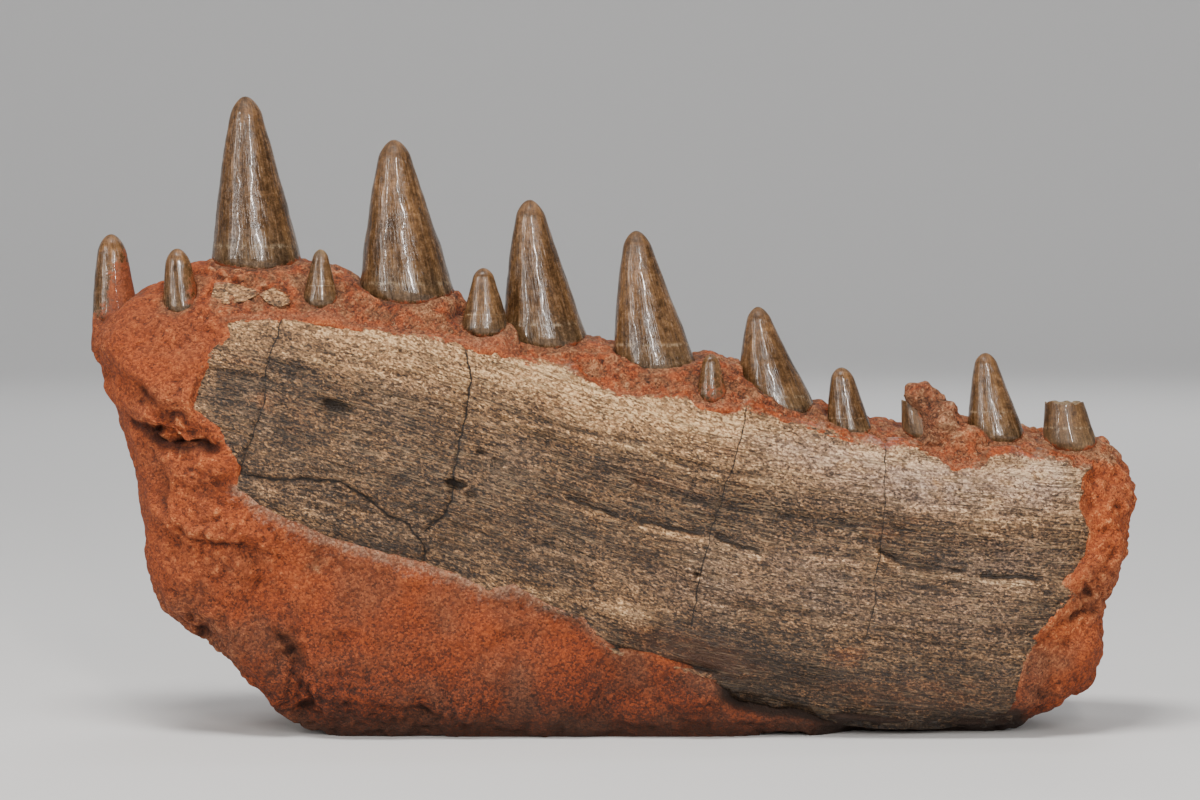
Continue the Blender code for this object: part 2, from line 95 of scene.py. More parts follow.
# Pits: x, z, radius, depth
PITS = [
    (-129, 32, 3, 6), (-133, 36, 2, 2.5), (-101, 27, 2, 4.5), (-96.5, 9.5, 2.2, 5), (-97.5, 17, 1.8, 2.4),
    (-99, 20, 2.2, 2.5), (152.5, 64.5, 1, 2), (155, 64, 0.9, 1.6), (148.5, 45, 2.6, 4), (-131, 95, 2.2, 3.5),
    (-143, 97, 2, 5), (-146, 75, 1.5, 1.5), (-125, 60, 1.5, 1.4), (157, 52, 1.2, 1.2), (160, 72, 1.1, 1),
    (141, 30, 1.6, 2), (133, 14, 1.8, 2.4), (-112, 38, 1.2, 1), (-120, 44, 1.4, 1), (-84, 21, 1.6, 0.9),
    (151, 72, 1.1, 1.2), (-147, 106, 1.8, 3.4), (-160, 113, 2, 2.6), (154, 78, 1.1, 1), (149, 53, 1.3, 1.4)]
# The crust over the twelfth tooth: lumps at x, y, z, each with its half width, depth and height
CRUST_LUMPS = [
    (98, -13, 106, 5.4, 7, 5.2), (104.2, -14, 97.5, 6.8, 9, 9), (111.5, -15, 92.5, 9.5, 8.5, 6.2)]
# The bone's outline on the rock, seen from the front, and the teeth, which the later sections use again
BONE_TOP = [
    (-122, 130), (-120, 130.6), (-113, 131), (-104, 131.5), (-93, 130), (-77, 128), (-67, 126.5), (-54, 125),
    (-47, 123), (-42, 120.5), (-36.5, 120), (-28, 117.5), (-15.5, 115.5), (-11, 113.5), (-7.5, 110.5),
    (0, 107.5), (9, 106), (21, 106), (28, 103), (34.5, 102), (43.5, 103), (55.5, 99), (70.5, 94.5),
    (85.5, 90), (95, 90.2), (101, 87.5), (107.5, 84), (115.5, 85), (119, 87.6), (125, 88), (136, 87),
    (143, 85.5), (150.5, 83.5)]
BONE_FOOT = [
    (-118, 79), (-110, 72.5), (-99, 67), (-88, 62), (-75, 58.5), (-59, 54), (-48.5, 50.5), (-39, 46),
    (-31, 47.5), (-21, 41.5), (-10, 37.5), (-7, 34), (0, 27), (12, 26), (21, 22), (30, 18.5), (40, 14),
    (48.5, 12.4), (56, 11.2), (61.5, 10), (66, 8.4), (73, 6), (82, 4.8), (100, 4.4), (118, 4.6), (124.2, 5.8)]
BONE_LEFT = [
    (-118, 79), (-117.5, 85.5), (-120.5, 92.5), (-123.5, 98), (-127.5, 100), (-131.5, 103), (-129, 113),
    (-124.5, 122), (-120.5, 126), (-122, 130)]
BONE_RIGHT = [
    (124.2, 5.8), (126, 10), (127.5, 17), (129, 24), (130.5, 28), (132, 32.5), (135.5, 35.5), (139.5, 40.5),
    (143.5, 45.5), (141, 48), (145, 51.5), (149.5, 57.5), (150, 63), (149.5, 66), (147, 70), (147, 74.5),
    (148.5, 80), (150.5, 83.5)]
# Each tooth: tip x and z, base x and z, width, y, share of the crown that is left, and how much of its
# width it loses on the way up
TEETH = {
    "tooth_01": (-160.5, 157.5, -159.1, 131.5, 14.8, -8.0, 1.0, 0.5),
    "tooth_02": (-137.5, 153.0, -136.0, 134.5, 11.8, -23.0, 1.0, 0.45),
    "tooth_03": (-117.4, 201.5, -114.0, 148.5, 28.8, -7.0, 1.0, 0.735),
    "tooth_04": (-92.2, 152.8, -92.3, 136.5, 11.0, -24.0, 1.0, 0.67),
    "tooth_05": (-69.9, 187.7, -65.8, 138.0, 30.5, -7.0, 1.0, 0.755),
    "tooth_06": (-41.0, 146.8, -40.5, 127.5, 15.2, -18.5, 1.0, 0.68),
    "tooth_07": (-26.5, 168.5, -21.5, 123.5, 27.0, -7.5, 1.0, 0.75),
    "tooth_08": (7.6, 158.6, 14.0, 115.0, 26.6, -8.5, 1.0, 0.755),
    "tooth_09": (31.0, 119.7, 31.2, 107.0, 9.4, -25.0, 1.0, 0.55),
    "tooth_10": (46.6, 134.3, 53.0, 102.0, 24.4, -9.0, 1.0, 0.79),
    "tooth_11": (73.1, 115.0, 76.0, 95.0, 14.2, -13.0, 1.0, 0.6),
    "tooth_12": (95.0, 118.0, 99.5, 94.0, 13.4, -12.5, 0.44, 0.76),
    "tooth_13": (119.2, 119.6, 123.0, 93.0, 18.4, -11.5, 1.0, 0.71),
    "tooth_14": (142.5, 122.0, 146.5, 91.0, 17.0, -12.0, 0.42, 0.76),
}


def mesh_from(shape, name):
    """A mesh made from a bmesh, which is freed."""
    mesh = bpy.data.meshes.new(name)
    shape.to_mesh(mesh)
    shape.free()
    return mesh


def add_solid(shape, name, cut_at=None, shrink=0):
    """Adds a merged copy of a solid to a bmesh, cut off above a height and drawn in to its axis if asked."""
    part = bmesh.new()
    part.from_mesh(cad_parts[name].data)
    bmesh.ops.remove_doubles(part, verts=part.verts, dist=1e-6)
    if cut_at is not None:
        bmesh.ops.bisect_plane(part, geom=part.verts[:] + part.edges[:] + part.faces[:],
                               plane_co=(0, 0, cut_at), plane_no=(0, 0, 1), clear_outer=True)
        bmesh.ops.holes_fill(part, edges=part.edges)
        middle = sum((v.co for v in part.verts), Vector()) / len(part.verts)
        for v in part.verts:
            v.co.xy = v.co.xy.lerp(middle.xy, shrink)
    mesh = mesh_from(part, "part")
    shape.from_mesh(mesh)
    bpy.data.meshes.remove(mesh)


def new_object(name, mesh):
    made = bpy.data.objects.new(name, mesh)
    bpy.context.scene.collection.objects.link(made)
    return made


def applied(thing):
    """The object's mesh with its modifiers worked in, which then replaces it."""
    bpy.context.view_layer.update()
    mesh = bpy.data.meshes.new_from_object(thing.evaluated_get(bpy.context.evaluated_depsgraph_get()))
    thing.modifiers.clear()
    thing.data = mesh
    return mesh


def places_of(mesh):
    """Vertex places in millimetres, and vertex normals."""
    places = np.empty(len(mesh.vertices) * 3, np.float32)
    mesh.vertices.foreach_get("co", places)
    normals = np.empty(len(mesh.vertices) * 3, np.float32)
    mesh.vertices.foreach_get("normal", normals)
    return places.reshape(-1, 3) / MM, normals.reshape(-1, 3)


def set_places(mesh, places):
    mesh.vertices.foreach_set("co", (places * MM).astype(np.float32).ravel())
    mesh.update()


def noise_at(places, size, seed=0):
    """Smooth noise, about -1 to 1, whose lumps are about this size in millimetres."""
    shift = Vector((seed * 17.3, seed * 5.1, seed * 9.7))
    return np.array([noise.noise(Vector(p) + shift) for p in (places / size).tolist()], np.float32)


def add_layer(mesh, name, values):
    layer = mesh.attributes.new(name, "FLOAT", "POINT")
    layer.data.foreach_set("value", np.asarray(values, np.float32))


def clamp(values):
    return np.clip(values, 0, 1)


def between(values, none, full):
    """0 up to one limit and 1 from the other one on, evenly between them; either limit may be the larger."""
    return clamp((values - none) / (full - none))


def soft(distance, width):
    """1 at no distance, falling softly to 0."""
    return np.exp(-((distance / width) ** 2))


def oval(x, z, middle_x, middle_z, half_long, half_tall):
    """1 in the middle of a spot, falling softly to 0 round it."""
    return soft(np.hypot((x - middle_x) / half_long, (z - middle_z) / half_tall), 1)


def line_distance(x, z, points):
    """Distance from a broken line: more than 0 on its upper side, or right of a line drawn down."""
    best = np.full(len(x), 1e9, np.float32)
    side = np.ones(len(x), np.float32)
    for (x0, z0), (x1, z1) in zip(points, points[1:]):
        dx, dz = x1 - x0, z1 - z0
        share = clamp(((x - x0) * dx + (z - z0) * dz) / (dx * dx + dz * dz))
        away_x, away_z = x - x0 - dx * share, z - z0 - dz * share
        away = np.hypot(away_x, away_z)
        nearer = away < best
        best = np.where(nearer, away, best)
        side = np.where(nearer, np.where(dx * away_z - dz * away_x < 0, -1, 1), side)
    return best * side


def in_outline(x, z, points):
    """Whether each place lies inside a closed outline."""
    inside = np.zeros(len(x), bool)
    for (x0, z0), (x1, z1) in zip(points, points[1:] + points[:1]):
        crosses = (z0 > z) != (z1 > z)
        inside ^= crosses & (x < (x1 - x0) * (z - z0) / (z1 - z0 + 1e-12) + x0)
    return inside


def relaxed(mesh, values, rounds):
    """Values at the vertices, evened out along the edges."""
    ends = np.empty(len(mesh.edges) * 2, np.int32)
    mesh.edges.foreach_get("vertices", ends)
    a, b = ends.reshape(-1, 2).T
    count = np.bincount(a, minlength=len(values)) + np.bincount(b, minlength=len(values))
    values = values.astype(np.float64)
    for _ in range(rounds):
        share = np.stack([(np.bincount(a, v[b], len(v)) + np.bincount(b, v[a], len(v))) / count
                          for v in values.T], axis=1)
        values = 0.5 * values + 0.5 * share
    return values


rock_shape = bmesh.new()
for solid in ("matrix_block", "jaw_bone", *CHIPS):
    add_solid(rock_shape, solid)
for solid, (_, _, _, base_z, *_) in TEETH.items():
    add_solid(rock_shape, solid, (base_z + ROOT_OUT) * MM, ROOT_SHRINK)
for px, py, pz, wide, deep, tall in CRUST_LUMPS:
    ball = bmesh.ops.create_uvsphere(rock_shape, u_segments=24, v_segments=14, radius=MM)["verts"]
    bmesh.ops.scale(rock_shape, vec=(wide, deep, tall), verts=ball)
    bmesh.ops.translate(rock_shape, vec=(px * MM, py * MM, pz * MM), verts=ball)
rock = new_object("matrix_rock", mesh_from(rock_shape, "matrix_rock"))
cells = rock.modifiers.new("even_cells", "REMESH")
cells.mode = "VOXEL"
cells.voxel_size = BLOCK_CELL * MM
rock_mesh = applied(rock)

set_places(rock_mesh, relaxed(rock_mesh, places_of(rock_mesh)[0], 4))
places, normals = places_of(rock_mesh)
x, y, z = places.T
x = x - SHIFT_X
facing = clamp(-normals[:, 1] * 1.6 - 0.2) * (y < -4)

# How far each place on the front is outside the bone's outline, and how near it is to a tooth
rim_line = BONE_FOOT + BONE_RIGHT[1:] + BONE_TOP[::-1][1:] + BONE_LEFT[::-1][1:-1]
from_bone = np.abs(line_distance(x, z, rim_line + rim_line[:1]))
under_bone = in_outline(x, z, rim_line) & (y < -15)
from_bone = np.where(under_bone, -from_bone, np.where(y < -8, from_bone, FAR))
round_tooth = np.full(len(x), FAR)
collar_top = np.zeros(len(x))
for _, _, base_x, base_z, width, depth, _, _ in TEETH.values():
    out_x, out_y = x - base_x, (y - depth - SHIFT_Y) / TOOTH_DEPTH
    axis_away = np.hypot(out_x, out_y) + 1e-6
    away = np.where((z > base_z - 12) & (z < base_z + 12), axis_away - width / 2, FAR)
    nearer = away < round_tooth
    round_tooth = np.where(nearer, away, round_tooth)
    ahead = clamp(-out_y / axis_away) ** 1.5
    collar_top = np.where(nearer, base_z + 1.5 - 4 * ahead - 0.5 * np.maximum(away, 0), collar_top)
gum = clamp((z - np.interp(x, *zip(*BONE_TOP)) + 1) / 4)
gum = gum * between(x, -134, -124) * between(y, -50, -48) * (y < 8)

# Lumps and crumbs of several sizes, calmer on the flats, on the gum and beside the bone and the teeth
rough = sum(amount * soft(np.hypot(x - px, z - pz), radius) for px, pz, radius, amount in ROUGH_PLACES)
calm = np.max([oval(x, z, *place) for place in CALM_PLACES], axis=0) * facing
worn_side = between(x, -140, -148) * between(z, 58, 66)
on_crust = soft(np.hypot(x - 103, z - 103), 11)
swell = noise_at(places, 24, 1) * 1.5
lump = (np.abs(noise_at(places, 12, 2)) - 0.22) * 2.6 + noise_at(places, 7, 8) * 0.9
chip = (np.abs(noise_at(places, 4.2, 3)) - 0.22) * 1.4
crumb = noise_at(places, 2.3, 4) * 0.42
strength = (1 - 0.65 * calm) * (1 - 0.35 * gum)
broken = 0.9 * strength + 0.1 + rough * 1.3 + gum * 0.8
push = (swell + lump) * strength + (chip + crumb) * broken - 0.4 * rough
push = push * np.clip(from_bone / 3.5, 0.15, 1) * np.clip(round_tooth / 2.5, 0.25, 1) * (1 - 0.6 * on_crust)
push = np.clip(push * (1 - 0.5 * worn_side), SUNK, RAISED)
on_foot = (z < 0.7) & (normals[:, 2] < -0.5)
push[on_foot] = 0
places = places + normals * push[:, None]

# Crevices and pits, along lines that wander
wander_x, wander_z = (line + (noise_at(places, 9, wide) * 1.6 + noise_at(places, 3.2, fine) * 0.7)
                      for line, wide, fine in ((x, 5, 6), (z, 7, 9)))
uneven = np.clip(0.85 + 0.7 * noise_at(places, 7, 10), 0.3, 1.3)
carve = np.zeros(len(x), np.float32)
for points, above, below, depth in CREVICES:
    away = line_distance(wander_x, wander_z, points)
    carve = np.maximum(carve, depth * np.where(away > 0, soft(away, above), np.exp(away / below)) * uneven)
for px, pz, radius, depth in PITS:
    carve = np.maximum(carve, depth * soft(np.hypot(wander_x - px, wander_z - pz), radius))
places[:, 1] += carve * facing * clamp(from_bone / 4)

# The rock laps up to the bone along its top and its lower left edge, and stands a little lower at both ends
flush = np.exp(-np.maximum(from_bone, 0) / 5) * (y < -25)
ends = between(x, 118, 126) + between(x, -119, -125)
places[:, 1] -= np.where(z > 75, 0.2, 0.3) * flush * clamp(1 - ends) * (from_bone > -2)
# It is set back where the bone's face hides it
places[:, 1] += np.where(under_bone, np.clip((-from_bone - 1) * 1.5, 0, 4), 0)
# The bone overhangs it in the middle of the jaw, and at the deep end both roll under above the floor
undercut = between(x, *OVERHANG_STARTS) * between(x, 72, 66) * (y < -15) * (z < 30)
beyond = np.maximum(from_bone - 2, 0)
places[:, 1] += 7 * undercut * soft(beyond, 2.6) * between(from_bone, -8, -4)
rolls_under = between(x, *FOOT_STARTS) * between(x, *FOOT_ENDS) * between(z, 7, 0)
places[:, 1] += 13 * rolls_under * between(y, -10, -30)
# It is set back round the two chips
for solid in CHIPS:
    low, high = (np.array(corner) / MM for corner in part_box(solid))
    middle, size = (low + high) / 2, high - low
    apart = np.hypot((x + SHIFT_X - middle[0]) / size[0], (z - middle[2]) / size[2]) * 2
    places[:, 1] += 1.3 * clamp(1.35 - apart) ** 0.5 * (y < -15)
# It is heaped into a collar round each tooth
collar_top = collar_top + 0.9 * noise_at(places, 4.5, 14) + 0.5 * noise_at(places, 1.9, 16)
collar = clamp(1.25 - np.maximum(round_tooth, 0) / 4.5) * clamp(normals[:, 2] * 2 + 0.4)
places[:, 2] += np.clip(collar_top - places[:, 2], -1.5, 6) * collar
places[on_foot, 2] = 0
lowest, highest = (np.array(corner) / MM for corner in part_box("matrix_block"))
lowest, highest = lowest + [INSIDE, INSIDE, 0], highest - INSIDE
places = np.clip(places, lowest, highest)
set_places(rock_mesh, places)

# What the finish needs to know at each place
hollow = ((relaxed(rock_mesh, places, 5) - places) * places_of(rock_mesh)[1]).sum(axis=1)
facet = oval(x, z, -100, 53, 34, 11) + oval(x, z, 138, 34, 10, 22) + 0.8 * oval(x, z, 150, 76, 8, 14)
low_edge = between(x, 62, 68) * between(x, *FOOT_ENDS) * between(z, 11, 8) * (from_bone < 5)
# Painted shadow: under the bone's overhang, where the foot rolls under above the floor, and along its low
# edge there
shaded = np.maximum.reduce([rolls_under * 4, low_edge, undercut * 1.8 * soft(beyond, 2.8)])
# Two darker spots; the first is painted shade under the bone's lower edge
darker_spots = 0.3 * oval(x, z, 22, 18, 17, 7) + 0.28 * oval(x, z, -111, 27, 9, 9)
rock_layers = {
    "hollow": np.clip(hollow / 0.5, -1.2, 1.2), "calm": calm, "crevice": clamp(carve / 4.5) * facing,
    "gum": gum, "facet": clamp(facet) * facing, "by_bone": clamp(1 - from_bone / 9),
    "foot": clamp(shaded) * (y < -12) + darker_spots * facing, "crust": clamp(on_crust * 1.5 - 0.2),
    "flush": clamp(1 - from_bone / 8) * between(x, 10, -20) * (z < 80),
    "by_tooth": clamp(1 - round_tooth / 5)}
for name, values in rock_layers.items():
    add_layer(rock_mesh, name, values)

thin = rock.vertex_groups.new(name="thin")
unseen = (y > 3) | (z < 0.3) | (from_bone < -3.5)
thin.add(np.where(unseen)[0].tolist(), 1, "REPLACE")
fewer = rock.modifiers.new("fewer_faces", "DECIMATE")
fewer.vertex_group = "thin"
fewer.ratio = 1 - unseen.mean() * (1 - BACK_KEPT)
rock_mesh = applied(rock)
set_places(rock_mesh, np.clip(places_of(rock_mesh)[0], lowest, highest))
rock_mesh.shade_smooth()


class Socket:
    """A shader socket. Sums written with it become Math nodes, and node() adds any other node to its tree."""

    def __init__(self, tree, link=None):
        self.tree = tree
        self.link = link

    def node(self, kind, settings=None, values=None, out=0):
        made = self.tree.nodes.new("ShaderNode" + kind)
        for key, setting in (settings or {}).items():
            if key == "stops":
                while len(made.color_ramp.elements) < len(setting):
                    made.color_ramp.elements.new(0.5)
                for stop, (place, colour) in zip(made.color_ramp.elements, setting):
                    stop.position = place
                    stop.color = (*colour, 1)
            else:
                setattr(made, key, setting)
        for key, value in (values or {}).items():
            if isinstance(value, Socket):
                self.tree.links.new(value.link, made.inputs[key])
            else:
                made.inputs[key].default_value = value
        return Socket(self.tree, made.outputs[out])

    def math(self, operation, *pair):
        return self.node("Math", {"operation": operation}, dict(enumerate(pair)))

    __add__ = __radd__ = lambda self, other: self.math("ADD", self, other)
    __mul__ = __rmul__ = lambda self, other: self.math("MULTIPLY", self, other)
    __sub__ = lambda self, other: self.math("SUBTRACT", self, other)
    __rsub__ = lambda self, other: self.math("SUBTRACT", other, self)
    __truediv__ = lambda self, other: self.math("DIVIDE", self, other)
    abs = lambda self: self.math("ABSOLUTE", self)

    def over(self, low, high):
        """0 below low and 1 above high, softly between them."""
        return self.node("MapRange", {"interpolation_type": "SMOOTHSTEP"},
                         {"Value": self, "From Min": low, "From Max": high})

    def under(self, low, high):
        return 1 - self.over(low, high)

    def ramp(self, *stops):
        return self.node("ValToRGB", {"stops": stops}, {"Fac": self})

    def shades(self, dark, middle, light, low=0.15):
        """Three shades of one colour: at the low value, at 0.5 and at 0.9."""
        return self.ramp((low, dark), (0.5, middle), (0.9, light))

    def tint(self, colour, other):
        """The colour, drawn towards the other one by this share."""
        colour, other = (v if isinstance(v, Socket) else (*v, 1) for v in (colour, other))
        return self.node("Mix", {"data_type": "RGBA"}, {0: self, 6: colour, 7: other}, 2)

    def layer(self, name):
        return self.node("Attribute", {"attribute_name": name}, out=2)

    def spot(self, place, stretch=(1, 1, 1), seed=0):
        """A place, stretched and shifted, for a pattern."""
        return self.node("Mapping", None, {"Vector": place, "Scale": stretch, "Location": (seed, seed, seed)})

    def also(self, out):
        """Another output of the same node."""
        return Socket(self.tree, self.link.node.outputs[out])

    def noise(self, place, size, detail=2, rough=0.6, stretch=(1, 1, 1), seed=0):
        """Noise whose lumps are about this size in millimetres, mostly from -1 to 1."""
        made = self.node("TexNoise", None, {
            "Vector": self.spot(place, stretch, seed), "Scale": 1 / (size * MM), "Detail": detail,
            "Roughness": rough})
        return (made - 0.5) * 5

    def grains(self, place, size, stretch=(1, 1, 1)):
        """Grains about this size in millimetres: a shade for each, from -1 to 1, and their domes."""
        dome = self.node("TexVoronoi", None, {
            "Vector": self.spot(place, stretch), "Scale": 1 / (size * MM)})
        shade = self.node("SeparateColor", None, {0: dome.also(1)})
        return shade * 2 - 1, 1 - dome


def new_finish(name):
    made = bpy.data.materials.new(name)
    made.use_nodes = True
    tree = made.node_tree
    for spare in list(tree.nodes):
        if spare.type != "OUTPUT_MATERIAL":
            tree.nodes.remove(spare)
    kit = Socket(tree)
    return made, kit, kit.node("TexCoord", out=3)


def finish_with(kit, colour, roughness, height, **others):
    """Ends a material: a Principled shader with a relief whose height is in millimetres."""
    normal = kit.node("Bump", None, {"Height": height, "Distance": MM, "Strength": 1})
    values = {"Base Color": colour, "Roughness": roughness, "Normal": normal}
    values.update({key.replace("_", " "): value for key, value in others.items()})
    shader = kit.node("BsdfPrincipled", None, values)
    kit.tree.links.new(shader.link, kit.tree.nodes["Material Output"].inputs["Surface"])


def coated(colour, *coats):
    """A colour with others laid over it in turn. Each coat is its share and its colour."""
    for share, other in coats:
        colour = share.tint(colour, other)
    return colour


def sandstone_shades(tone):
    return tone.ramp((0.05, (0.028, 0.007, 0.003)), (0.28, (0.115, 0.022, 0.006)),
                     (0.5, (0.28, 0.053, 0.012)), (0.74, (0.46, 0.108, 0.027)), (0.97, (0.7, 0.29, 0.11)))


red_sandstone, kit, here = new_finish("red_sandstone")
hollow_in, calm_in, crevice_in, gum_in, facet_in, by_bone, foot_shade_in, crust_in, flush_in, by_tooth = (
    kit.layer(name) for name in rock_layers)
height_up = kit.node("SeparateXYZ", None, {0: here}, 2)
to_right = kit.node("SeparateXYZ", None, {0: here}, 0).over(0.1, 0.15)
low_down = height_up.under(0, 0.075)
patch = kit.noise(here, 30)
cloud = kit.noise(here, 8, 3)
grit = kit.noise(here, 1.1, 3, 0.8, seed=1.7)
grain, dome = kit.grains(here, 0.62)
# Painted shade: the tone is darker in the hollows, less so on the calm flats. It is also darker towards the
# bottom.
tone = (0.51 + patch * 0.06 + cloud * (0.03 + gum_in * 0.1) + grit * (0.06 + gum_in * 0.05) + grain * 0.19
        - hollow_in * (0.18 - calm_in * 0.12) - low_down * 0.1 + to_right * 0.075 - gum_in * 0.035
        + facet_in * 0.07 - height_up.under(0, 0.035) * 0.19)
dark = kit.noise(here, 0.8, 2, 0.7, seed=9.3).over(0.9, 1.4)
brown = kit.noise(here, 20, 2, seed=6).over(-0.6, 1)
dusty = (kit.noise(here, 5, 3, 0.75, seed=8) + gum_in * 1.7 + facet_in * 0.9 - 1.2).over(-0.3, 1.2)
skirt = (by_tooth * 1.3 + cloud * 0.4 - 0.5).over(0, 0.8)
powder = (kit.noise(here, 2.5, 3, 0.75, seed=15) * 1.1 + flush_in * 1.9 - 1.2).over(0, 1.1)
chalky = (kit.noise(here, 1.6, 3, 0.8, seed=12) + by_bone * 1.1 + gum_in * 0.55 - 1.5).over(0, 0.7)
seam = by_bone.over(0.7, 1)
open_seam = seam - seam * (gum_in + flush_in).under(0, 0.5)
sand_colour = coated(
    sandstone_shades(tone),
    (dark * (0.75 - calm_in * 0.3 - facet_in * 0.35), (0.04, 0.012, 0.006)),
    (brown * (0.25 + low_down * 0.7),
     (tone + 0.03).shades((0.03, 0.011, 0.006), (0.16, 0.055, 0.025), (0.38, 0.19, 0.095), 0.1)),
    (dusty * 0.75, tone.shades((0.045, 0.018, 0.008), (0.205, 0.089, 0.038), (0.5, 0.31, 0.165))),
    (crust_in * (0.45 + cloud * 0.15),
     (tone - 0.04).shades((0.04, 0.018, 0.01), (0.2, 0.09, 0.045), (0.5, 0.32, 0.19))),
    (skirt * 0.7,
     (tone - by_tooth * 0.08).shades((0.03, 0.013, 0.007), (0.17, 0.07, 0.031), (0.42, 0.235, 0.12), 0.1)),
    (powder * 0.7, tone.shades((0.06, 0.028, 0.02), (0.24, 0.12, 0.08), (0.48, 0.3, 0.21))),
    (chalky * 0.6, (0.46, 0.27, 0.14)),
    (open_seam * (0.45 + grit * 0.3),
     tone.shades((0.06, 0.028, 0.015), (0.2, 0.1, 0.055), (0.48, 0.31, 0.19))),
    # Painted shade deep in the crevices
    (crevice_in.over(0.3, 1) * 0.75, (0.03, 0.01, 0.006)),
    # Painted shadow along the floor, on the lowest few millimetres
    (height_up.under(0, 0.013) * 0.8, (0.045, 0.017, 0.008)),
    # Painted shadow where the bone overhangs and its foot rolls under, and two darker spots
    (foot_shade_in * 0.93, (0.03, 0.016, 0.01)))
finish_with(kit, sand_colour, 0.85 + grain * 0.08, cloud * 0.25 + grit * 0.3 + dome * 0.42,
            Specular_IOR_Level=0.3)
rock_mesh.materials.append(red_sandstone)
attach(rock, "root")
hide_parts("matrix_block")

# The jaw bone. A long slab of grey-tan fossil bone that lies open on the front of the block, streaked along
# its length, cracked across and broken off at both ends. It is a fine sheet over the solid bone's face that
# dips into the rock all round, with its rim turned back.
BONE_ALONG, BONE_UP = 470, 154
# About how long and tall the sheet is, how far it reaches past the outline, and how deep its rim turns back
SHEET_LONG, SHEET_TALL = 270, 80
OVERLAP, RIM_BACK = 2.8, 5
# The solid's face is felt for from in front, a little nearer to the bone's middle. These two are in metres.
BONE_MIDDLE, DRAWN_IN = (10, 66), 0.006
IN_FRONT, NEAR_FACE = -0.2, -0.046
# Further from a crack than any crack is wide
NO_CRACK = 9
# Cracks: points (x, z), half width, depth
CRACKS = [
    ([(-103, 133), (-106, 123), (-108, 115), (-108.2, 107), (-112, 93.5), (-116.5, 83)], 0.17, 0.9),
    ([(-46.3, 123), (-44.5, 113), (-45, 104.5), (-48, 93.5), (-49.2, 82), (-50, 75), (-52.5, 70.5),
      (-58.2, 66)], 0.3, 1.2),
    ([(42, 103), (40, 93.5), (37, 85), (34, 75), (31, 66.5), (28, 56), (27, 50.5), (25.3, 42),
      (24.4, 36)], 0.17, 0.5),
    ([(86.2, 92), (85.6, 82), (84.7, 69), (84.2, 57.5), (81.4, 50), (81.4, 43), (78.3, 31)], 0.14, 0.5),
    ([(-119, 83.7), (-109, 82), (-102, 81.5), (-96, 81.8), (-90.5, 81.2), (-85, 81.2), (-77, 76), (-69, 70.2),
      (-63.2, 67.7), (-59.2, 61), (-58.6, 52)], 0.32, 1.3)]
# Splits along the grain, with a lip below: points, depth
SPLITS = [
    ([(-14.7, 75.9), (-0.1, 70.3), (25.6, 65), (45.1, 59.1)], 1.2),
    ([(83.7, 58.2), (92, 54), (101.4, 52.6), (117.5, 51.4), (144.1, 48.6)], 1.2),
    ([(-32.3, 101.3), (-4.5, 94.8), (25.6, 90.4)], 0.5), ([(63.6, 58.2), (82.5, 56.3)], 0.5),
    ([(1.7, 93.9), (26.5, 84.6), (48.2, 81.5)], 0.5), ([(-41.6, 69.1), (-23, 61.3), (-4.5, 56.7)], 0.4),
    ([(-115.9, 84.6), (-97.3, 75.3), (-88, 70.6)], 0.3), ([(88.4, 75.3), (107, 72.2), (131.7, 69.1)], 0.4),
    ([(-97.3, 123.3), (-78.7, 117.1), (-60.2, 112.4)], 0.3),
    ([(7.9, 79.9), (32.7, 72.2), (57.4, 69.1), (76, 65.3)], 0.5),
    ([(26.5, 44.3), (51.3, 39.6), (76, 37.4)], 0.3), ([(82.2, 31.9), (107, 28.8), (125.5, 27.2)], 0.3),
    ([(-2, 30), (10, 26), (21, 24), (32, 21)], 1.6)]
# Dents: x, z, half length, half height, depth; all fall to the right at this angle
DENT_RISE = -18
DENTS = [
    (-49, 80, 3, 1.8, 1.5), (-85.5, 103.5, 5, 2.6, 1.2), (-41.5, 89.5, 2, 1.2, 0.9),
    (-35.4, 86.7, 2.6, 1, 0.8), (26.2, 52, 0.9, 0.9, 1), (-44.7, 76.8, 2.2, 1.4, 0.7),
    (-18.4, 75.3, 3, 1, 0.5), (-33.9, 100.1, 3, 0.9, 0.5), (120, 69, 3.2, 2, 0.4), (-98, 93, 8, 5, 0.5),
    (-100, 115, 8, 2.5, 0.5), (5, 39, 10, 3.5, -1.3)]
